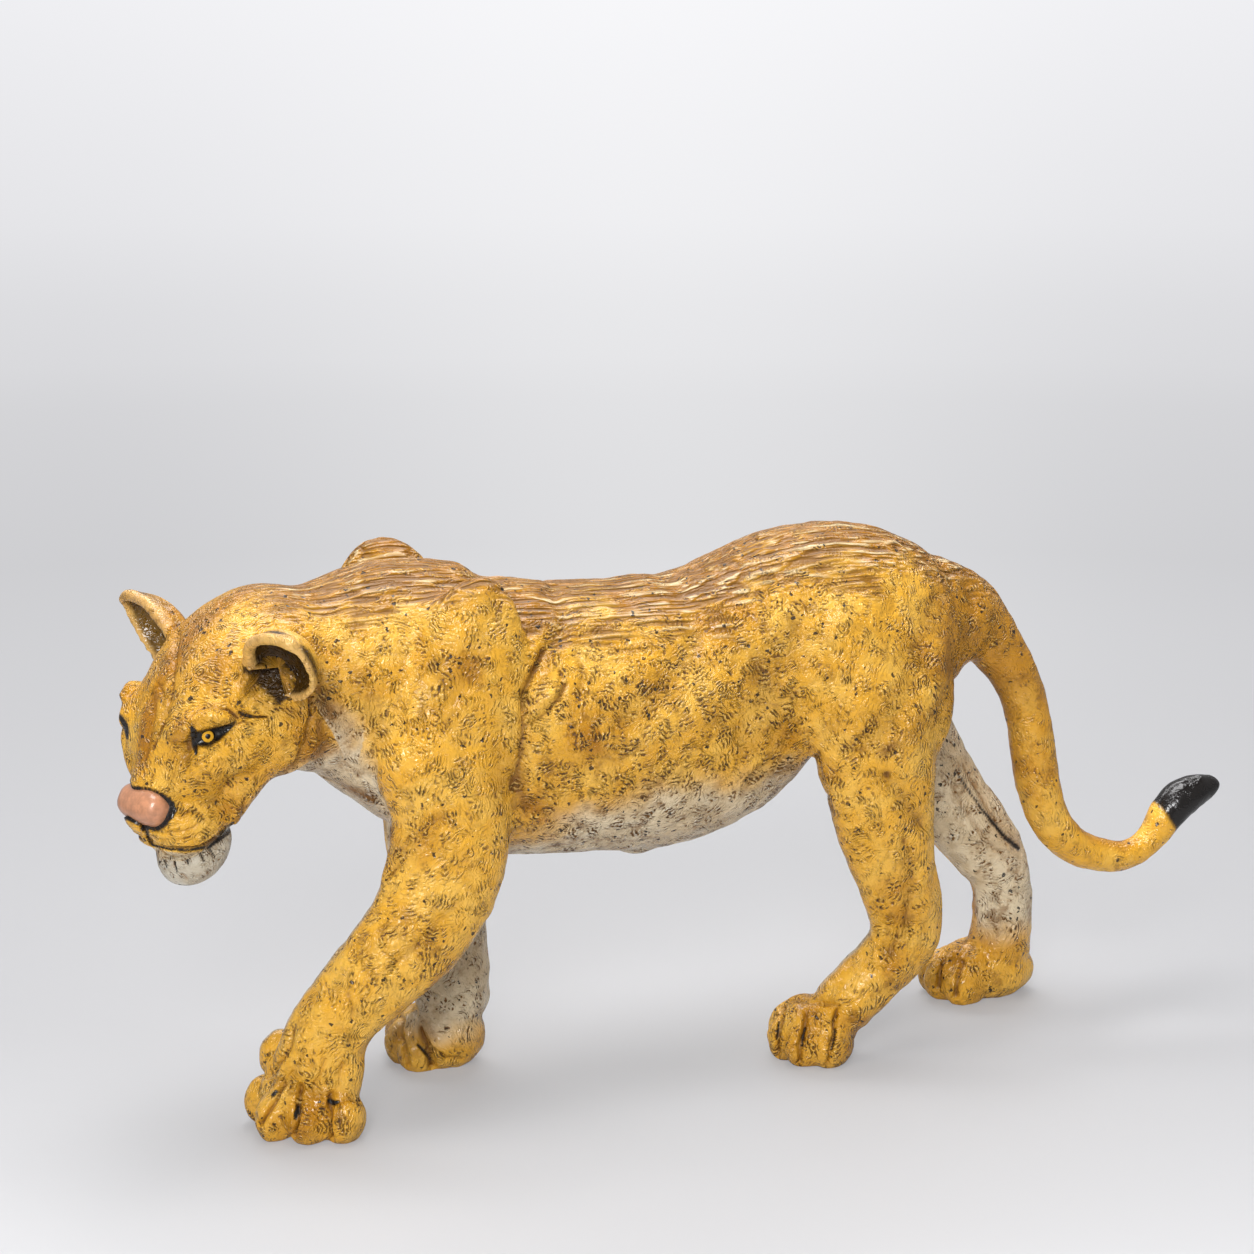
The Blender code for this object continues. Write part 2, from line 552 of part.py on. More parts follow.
def make_lower_jaw(skin, head):
    grid = head_grid()
    turns = grid.to_3x3().normalized().to_4x4() @ turned((0, MOUTH_SEAM_TILT, 0))
    place = grid @ Vector(MOUTH_SEAM_SHARES)
    sides = (CUT_OVERRUN, CUT_OVERRUN, CUT_OVERRUN)
    jaw = copy_of("lower_jaw", skin)
    boolean(jaw, block("mouth_seam", place, turns, sides), "INTERSECT")
    boolean(head, block("mouth_seam_grown", place, turns, sides, FIT_GAP), "DIFFERENCE")
    top = grid @ Vector(MIDDLE_OF_FACE_SHARES[CHIN][0])
    top = top + turns.to_3x3() @ Vector((0, 0, (turns.inverted() @ (place - top)).z))
    upwards = turns @ Matrix.Rotation(-pi / 2, 4, "Y")
    key_together(jaw, head, top, upwards, JAW_PEG_WIDTH, JAW_PEG_LENGTH)
    jaw.data.materials.append(bpy.data.materials["cream_paint"])


def egg(name, place, radii, collection=cutters):
    mesh = bmesh.new()
    bmesh.ops.create_uvsphere(mesh, u_segments=EGG_SIDES, v_segments=EGG_RINGS, radius=1)
    bmesh.ops.transform(mesh, matrix=place @ Matrix.Diagonal((*radii, 1)), verts=mesh.verts)
    return new_object(name, mesh, collection)


def make_ears(skin, head):
    """Each ear is the back half of a hollow egg that stands on the skull, with a peg under its wall."""
    grid = head_grid()
    around = grown(skin, FIT_GAP)
    facing = Vector(EAR_OPENING_SHARES).normalized()
    rise = Vector(EAR_RISE_SHARES)
    rise = (rise - facing * rise.dot(facing)).normalized()
    axes = Matrix((facing, rise.cross(facing), rise)).transposed().to_4x4()
    for name, side in (("left_ear", 1), ("right_ear", -1)):
        turns = grid.to_3x3().normalized().to_4x4() @ Matrix.Diagonal((1, side, 1, 1)) @ axes
        place = Matrix.Translation(grid @ (Vector(EAR_PLACE_SHARES) * Vector((1, side, 1)))) @ turns
        outer = (EAR_DEPTH, EAR_WIDTH / 2, EAR_RISE)
        ear = egg(name, place, outer, figure)
        boolean(ear, egg(name + "_hollow", place, [radius - EAR_WALL for radius in outer]), "DIFFERENCE")
        width = EAR_RISE * EAR_SEAM_WIDTH_SHARE
        rim = place @ Vector((EAR_LIP, 0, 0))
        boolean(ear, half_space(name + "_mouth", rim, turns, width), "DIFFERENCE")
        boolean(ear, around, "DIFFERENCE")
        root = place @ Vector((EAR_WALL / 2 - EAR_DEPTH, 0, 0))
        inwards = along(-(turns.to_3x3() @ Vector((0, 0, 1))))
        key_together(ear, head, root, inwards, EAR_PEG_WIDTH, EAR_PEG_LENGTH)
        ear.data.materials.append(bpy.data.materials["amber_paint"])


def centre_on_floor():
    """Hangs every piece on one empty and moves it until the figure's box is centred over the origin."""
    stand = bpy.data.objects.new("figure_origin", None)
    figure.objects.link(stand)
    graph = bpy.context.evaluated_depsgraph_get()
    corners = [Vector(corner) for thing in figure.objects if thing.type == "MESH"
               for corner in thing.evaluated_get(graph).bound_box]
    for thing in figure.objects:
        if thing is not stand:
            thing.parent = stand
    for axis in (0, 1):
        places = [corner[axis] for corner in corners]
        stand.location[axis] = -(min(places) + max(places)) / 2
    for thing in cutters.objects:
        thing.parent = stand


def main():
    clear_scene()
    paint("golden_paint", GOLD)
    paint("cream_paint", CREAM)
    paint("amber_paint", AMBER)
    body = stand_flat(body_skin())
    face = head_skin()
    trunk = copy_of("trunk", body)
    trunk.data.materials.append(bpy.data.materials["golden_paint"])
    make_legs(body, trunk)
    make_tail(trunk)
    head = make_head(face, trunk)
    make_lower_jaw(face, head)
    make_ears(face, head)
    centre_on_floor()


if __name__ == "__main__":
    main()
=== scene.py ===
"""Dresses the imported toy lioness: one sculpted, painted and varnished skin, eyes, nose and a studio.

The figure is drawn as in the CAD source: tables give places and radii as shares of the body's length,
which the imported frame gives. Creases, toes and paint marks are strokes over the studio camera's view.
"""

from math import cos, pi, radians, sin

import bmesh
import bpy
import numpy as np
from mathutils import Matrix, Vector
from mathutils.bvhtree import BVHTree
from mathutils.kdtree import KDTree


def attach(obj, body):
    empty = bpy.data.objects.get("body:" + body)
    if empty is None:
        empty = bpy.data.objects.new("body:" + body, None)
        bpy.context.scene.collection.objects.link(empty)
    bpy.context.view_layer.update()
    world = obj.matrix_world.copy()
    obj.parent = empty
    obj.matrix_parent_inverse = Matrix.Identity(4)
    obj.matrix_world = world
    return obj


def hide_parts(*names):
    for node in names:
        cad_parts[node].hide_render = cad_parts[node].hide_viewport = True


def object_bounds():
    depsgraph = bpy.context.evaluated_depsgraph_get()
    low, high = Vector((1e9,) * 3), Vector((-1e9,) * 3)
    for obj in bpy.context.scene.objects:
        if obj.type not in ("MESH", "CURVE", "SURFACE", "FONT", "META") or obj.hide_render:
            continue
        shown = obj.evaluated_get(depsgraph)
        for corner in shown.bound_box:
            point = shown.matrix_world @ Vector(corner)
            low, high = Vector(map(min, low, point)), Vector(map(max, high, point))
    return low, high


bl_info = {
    "name": "Prowling toy lioness",
    "version": (1, 0, 0),
    "blender": (4, 5, 0),
    "location": "3D View > Sidebar > Lioness",
    "description": "Sculpts, paints and lights the prowling toy lioness",
    "category": "Object",
}

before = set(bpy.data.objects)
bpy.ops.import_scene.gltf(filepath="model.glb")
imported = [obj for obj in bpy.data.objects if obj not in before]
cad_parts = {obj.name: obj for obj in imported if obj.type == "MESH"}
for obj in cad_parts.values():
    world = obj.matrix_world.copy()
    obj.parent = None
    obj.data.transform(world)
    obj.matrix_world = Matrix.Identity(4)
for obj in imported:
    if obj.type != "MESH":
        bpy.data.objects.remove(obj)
CAD_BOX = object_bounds()

# The drawing's grid: how long the figure is on it, and where the middle of its box lies
LENGTH_SHARE = 1.5811
MIDDLE_SHARES = (0.0854, -0.0258, 0.0)
STEP = (CAD_BOX[1].x - CAD_BOX[0].x) / LENGTH_SHARE
BODY_GRID = Matrix.Scale(STEP, 4) @ Matrix.Translation(-Vector(MIDDLE_SHARES))
MM = 0.001

# Each row of a limb: x, y, z of its middle, its radius along its bend and its radius sideways
TRUNK_SHARES = (
    (-0.430, 0.000, 0.570, 0.114, 0.100), (-0.385, 0.000, 0.556, 0.134, 0.118),
    (-0.320, 0.000, 0.536, 0.160, 0.133), (-0.240, 0.000, 0.510, 0.177, 0.142),
    (-0.160, 0.000, 0.496, 0.180, 0.146), (-0.080, 0.000, 0.491, 0.180, 0.146),
    (0.000, 0.000, 0.491, 0.184, 0.142), (0.070, 0.000, 0.506, 0.179, 0.135),
    (0.140, 0.000, 0.546, 0.158, 0.130), (0.200, 0.000, 0.580, 0.144, 0.126),
    (0.270, 0.000, 0.590, 0.138, 0.122), (0.340, 0.000, 0.584, 0.122, 0.110),
    (0.400, 0.000, 0.578, 0.098, 0.090), (0.440, 0.000, 0.582, 0.068, 0.064),
)
NECK_SHARES = (
    (-0.290, 0.000, 0.588, 0.128, 0.110), (-0.360, 0.000, 0.577, 0.139, 0.120),
    (-0.430, -0.008, 0.574, 0.125, 0.108), (-0.500, -0.018, 0.575, 0.109, 0.097),
    (-0.550, -0.030, 0.574, 0.098, 0.090),
)
LEFT_FORELEG_SHARES = (
    (-0.285, -0.085, 0.640, 0.068, 0.044), (-0.298, -0.098, 0.560, 0.078, 0.053),
    (-0.302, -0.105, 0.450, 0.077, 0.054), (-0.305, -0.108, 0.355, 0.077, 0.051),
    (-0.335, -0.108, 0.280, 0.072, 0.049), (-0.385, -0.106, 0.222, 0.063, 0.046),
    (-0.430, -0.098, 0.178, 0.055, 0.043), (-0.458, -0.086, 0.135, 0.054, 0.043),
    (-0.471, -0.076, 0.090, 0.058, 0.045),
)
RIGHT_FORELEG_SHARES = (
    (-0.300, 0.085, 0.640, 0.072, 0.044), (-0.285, 0.098, 0.540, 0.077, 0.053),
    (-0.272, 0.102, 0.440, 0.071, 0.052), (-0.268, 0.100, 0.340, 0.066, 0.047),
    (-0.262, 0.098, 0.260, 0.063, 0.044), (-0.252, 0.098, 0.190, 0.058, 0.043),
    (-0.246, 0.098, 0.140, 0.053, 0.043), (-0.246, 0.098, 0.090, 0.051, 0.045),
)
LEFT_HIND_LEG_SHARES = (
    (0.290, -0.070, 0.620, 0.090, 0.050), (0.278, -0.090, 0.540, 0.102, 0.055),
    (0.282, -0.100, 0.460, 0.090, 0.053), (0.293, -0.100, 0.390, 0.080, 0.048),
    (0.307, -0.094, 0.320, 0.069, 0.043), (0.324, -0.088, 0.260, 0.058, 0.039),
    (0.344, -0.080, 0.200, 0.055, 0.036), (0.342, -0.074, 0.155, 0.050, 0.036),
    (0.307, -0.066, 0.113, 0.044, 0.039), (0.264, -0.060, 0.072, 0.042, 0.043),
)
RIGHT_HIND_LEG_SHARES = (
    (0.330, 0.070, 0.600, 0.090, 0.050), (0.350, 0.088, 0.520, 0.097, 0.054),
    (0.390, 0.096, 0.440, 0.090, 0.052), (0.438, 0.096, 0.370, 0.074, 0.047),
    (0.490, 0.090, 0.300, 0.060, 0.042), (0.538, 0.085, 0.240, 0.057, 0.039),
    (0.573, 0.084, 0.185, 0.047, 0.037), (0.580, 0.086, 0.120, 0.044, 0.039),
    (0.578, 0.090, 0.065, 0.048, 0.045),
)
TAIL_SHARES = (
    (0.405, 0.000, 0.610, 0.064), (0.440, 0.000, 0.607, 0.053), (0.468, 0.000, 0.592, 0.047),
    (0.497, 0.000, 0.558, 0.042), (0.536, 0.000, 0.505, 0.035), (0.562, 0.000, 0.448, 0.032),
    (0.574, 0.000, 0.390, 0.033), (0.584, 0.000, 0.335, 0.032), (0.608, 0.000, 0.276, 0.030),
    (0.655, 0.000, 0.234, 0.027), (0.708, 0.000, 0.217, 0.024), (0.748, 0.000, 0.222, 0.022),
    (0.775, 0.000, 0.243, 0.023), (0.795, 0.000, 0.271, 0.027), (0.820, 0.000, 0.293, 0.028),
    (0.846, 0.000, 0.303, 0.025), (0.866, 0.000, 0.308, 0.016),
)

# Each muscle or pad: its middle, its three radii, and its turns about X, Y and Z in degrees
MUSCLE_SHARES = (
    ((-0.278, -0.108, 0.590), (0.072, 0.042, 0.120), (0, 12, 0)),
    ((-0.322, 0.088, 0.605), (0.080, 0.044, 0.126), (0, -8, 0)),
    ((-0.330, -0.105, 0.480), (0.062, 0.050, 0.086), (0, 10, 0)),
    ((-0.345, 0.090, 0.470), (0.066, 0.050, 0.092), (0, 0, 0)),
    ((-0.365, 0.000, 0.494), (0.070, 0.092, 0.082), (0, 0, 0)),
    ((0.228, -0.090, 0.560), (0.080, 0.050, 0.117), (0, 14, 0)),
    ((0.325, -0.085, 0.520), (0.076, 0.048, 0.127), (0, -10, 0)),
    ((0.270, 0.090, 0.560), (0.094, 0.050, 0.117), (0, 14, 0)),
    ((0.365, 0.080, 0.530), (0.072, 0.045, 0.107), (0, -14, 0)),
    ((0.235, 0.000, 0.647), (0.117, 0.077, 0.080), (0, 4, 0)),
    ((0.030, 0.000, 0.350), (0.090, 0.060, 0.042), (0, -10, 0)),
    ((-0.010, 0.000, 0.314), (0.034, 0.024, 0.018), (0, -8, 0)),
)
PAWS = (
    (((-0.478, -0.070, 0.044), (0.056, 0.047, 0.050), (0, 0, 38)),
     ((-0.526, -0.024, 0.030), (0.031, 0.025, 0.034), (0, 0, 30)),
     ((-0.523, -0.074, 0.027), (0.035, 0.026, 0.034), (0, 0, 38)),
     ((-0.488, -0.100, 0.027), (0.035, 0.027, 0.034), (0, 0, 48)),
     ((-0.448, -0.110, 0.028), (0.033, 0.029, 0.035), (0, 0, 60))),
    (((-0.252, 0.094, 0.040), (0.054, 0.044, 0.047), (0, 0, 8)),
     ((-0.290, 0.088, 0.026), (0.037, 0.027, 0.034), (0, 0, 16)),
     ((-0.302, 0.118, 0.028), (0.033, 0.025, 0.035), (0, 0, 4)),
     ((-0.294, 0.147, 0.028), (0.033, 0.024, 0.035), (0, 0, -8)),
     ((-0.264, 0.160, 0.028), (0.036, 0.024, 0.033), (0, 0, -16))),
    (((0.230, -0.056, 0.040), (0.054, 0.046, 0.044), (0, 0, 12)),
     ((0.209, -0.012, 0.032), (0.036, 0.023, 0.037), (0, 0, 2)),
     ((0.193, -0.044, 0.028), (0.035, 0.024, 0.035), (0, 0, 10)),
     ((0.205, -0.074, 0.026), (0.037, 0.025, 0.034), (0, 0, 20)),
     ((0.236, -0.088, 0.026), (0.038, 0.024, 0.032), (0, 0, 30))),
    (((0.570, 0.090, 0.036), (0.064, 0.046, 0.044), (0, 0, 6)),
     ((0.515, 0.064, 0.026), (0.038, 0.023, 0.034), (0, 0, 12)),
     ((0.496, 0.092, 0.028), (0.035, 0.024, 0.035), (0, 0, 4)),
     ((0.502, 0.121, 0.028), (0.035, 0.024, 0.035), (0, 0, -6)),
     ((0.530, 0.140, 0.026), (0.038, 0.023, 0.033), (0, 0, -14))),
)
# A toe's root lies this share of the way to the pad, this far higher, and is this thick
ROOT_REACH = 0.42
ROOT_RISE = 0.016
ROOT_RADII = (0.036, 0.0245, 0.030)
# The dewclaw, the lump behind the far wrist and the full outer side of the near paw
WRIST_SHARES = (
    ((-0.510, -0.030, 0.094), (0.024, 0.020, 0.032), (0, 20, 0)),
    ((-0.498, -0.046, 0.080), (0.030, 0.030, 0.040), (0, 20, 0)),
    ((-0.206, 0.098, 0.092), (0.014, 0.020, 0.030), (0, 0, 0)),
    ((-0.448, -0.090, 0.084), (0.034, 0.032, 0.056), (0, 0, 0)),
)

# The head is drawn on its own grid: forwards, to its left and up, from between the eyes
EYES_SHARES = (-0.638, -0.065, 0.539)
HEAD_YAW = 20.0
HEAD_PITCH = 33.0
BRIDGE_SHARES = (
    (-0.070, 0.000, 0.020, 0.050, 0.060), (-0.010, 0.000, -0.012, 0.044, 0.042),
    (0.045, 0.000, -0.045, 0.037, 0.034), (0.082, 0.000, -0.062, 0.031, 0.033),
)
SKULL_SHARES = (
    (-0.220, 0.000, -0.040, 0.060, 0.080), (-0.165, 0.000, -0.018, 0.086, 0.104),
    (-0.105, 0.000, -0.006, 0.084, 0.110), (-0.055, 0.000, -0.003, 0.070, 0.098),
    (-0.012, 0.000, -0.012, 0.053, 0.082), (0.030, 0.000, -0.046, 0.044, 0.056),
    (0.070, 0.000, -0.062, 0.036, 0.042),
)
CHEEKBONE_SHARES = (
    (-0.120, 0.078, -0.046, 0.058, 0.034), (-0.060, 0.073, -0.038, 0.046, 0.032),
    (0.000, 0.066, -0.032, 0.036, 0.031), (0.035, 0.047, -0.054, 0.034, 0.027),
)
JAW_SHARES = (
    (-0.110, 0.064, -0.076, 0.042, 0.034), (-0.045, 0.055, -0.081, 0.034, 0.028),
    (0.020, 0.036, -0.112, 0.027, 0.025),
)
MIDDLE_OF_FACE_SHARES = (
    ((-0.130, 0.000, -0.040), (0.100, 0.096, 0.080), (0, 0, 0)),
    ((-0.040, 0.000, -0.075), (0.100, 0.060, 0.052), (0, 20, 0)),
    ((0.062, 0.000, -0.145), (0.052, 0.047, 0.039), (0, 12, 0)),
    ((0.084, 0.000, -0.061), (0.023, 0.035, 0.027), (0, 30, 0)),
)
SIDE_OF_FACE_SHARES = (
    ((-0.100, 0.062, -0.058), (0.078, 0.048, 0.070), (0, 0, 0)),
    ((0.050, 0.026, -0.094), (0.056, 0.041, 0.045), (0, 8, 0)),
    ((-0.018, 0.058, 0.016), (0.046, 0.037, 0.020), (0, 0, -24)),
)

# Ears, the near one as 1 and the far one as -1: leaf-shaped cups that open forwards, with a rolled rim.
# The radii run back, across and up
EAR_PLACE_SHARES = {1: (-0.105, 0.1415, 0.036), -1: (-0.096, 0.137, 0.035)}
EAR_OPENING_SHARES = {1: (0.98, 0.17, -0.07), -1: (0.96, 0.04, 0.27)}
EAR_RISE_SHARES = {1: (-0.09, 0.77, 0.63), -1: (-0.18, 0.80, 0.57)}
EAR_RADII = (0.0042, 0.0048, 0.0072)
EAR_WALL = 0.0008
EAR_RIMS = (0.00095, 0.00055)
EAR_POINT_SHARE = 0.30
EAR_STEPS = 16
EAR_RIM_START = 4
EAR_SIDES = 14

# The nose pad. Round it the skin between its floor and the edge of its bed, in the pad's radii, is sunk
NOSE_SHARES = (0.0790, 0.000, -0.0585)
NOSE_RADII_SHARES = (0.0235, 0.0405, 0.0285)
NOSE_SQUARENESS = 2.7
NOSE_TILT = 30
NOSE_BED = 1.12
NOSE_FLOOR = 0.90
# The eyes: where the near one lies in the picture, the ball's radius and how far it stands out of the skin
EYE_PIXELS = (206.5, 734.5)
EYE_RADIUS = 0.0011
EYE_STANDS_OUT = 0.00042
# The far side of the face is this share as wide as the near one, and its lid stands out a little more
FAR_FACE = 0.85
FAR_LID_SHARES = (0.016, -0.056, -0.008)
FAR_LID_REACH = 0.030
FAR_LID_HEIGHT = 0.0013

# How the skin is worked
RING_SIDES = 28
STEPS_BETWEEN_ROWS = 5
ROUNDS_PER_STEP = 0.7
DOME_SHARES = (0.33, 0.67, 0.94)
NODE_NAMES = ("trunk", "head", "lower_jaw", "left_ear", "right_ear", "left_foreleg",
              "right_foreleg", "left_hind_leg", "right_hind_leg", "tail")
HEAD_PARTS = ("head", "lower_jaw", "left_ear", "right_ear")
SLOTS = {"lower_jaw": "cream_chin", "left_ear": "amber_coat", "right_ear": "amber_coat", "tail": "amber_coat"}
# How strongly the hair shows where it is calmer than on the trunk
CALM_HAIR = {"tail": 0.45, "left_foreleg": 0.85, "right_foreleg": 0.7, "left_hind_leg": 0.8,
             "right_hind_leg": 0.6, "lower_jaw": 0.6, "left_ear": 0.35, "right_ear": 0.35, "head": 0.85}
# Clumps of hair: their size on the head and elsewhere in mm, how far they lean in radians, how much they
# bend and what share of them are whorls
TUFT_SIZES = (1.9, 2.7)
TUFT_LEAN = 0.45
TUFT_BEND = 160.0
TUFT_WHORLS = 0.13
# The noise repeats after this many lumps
LATTICE = 24

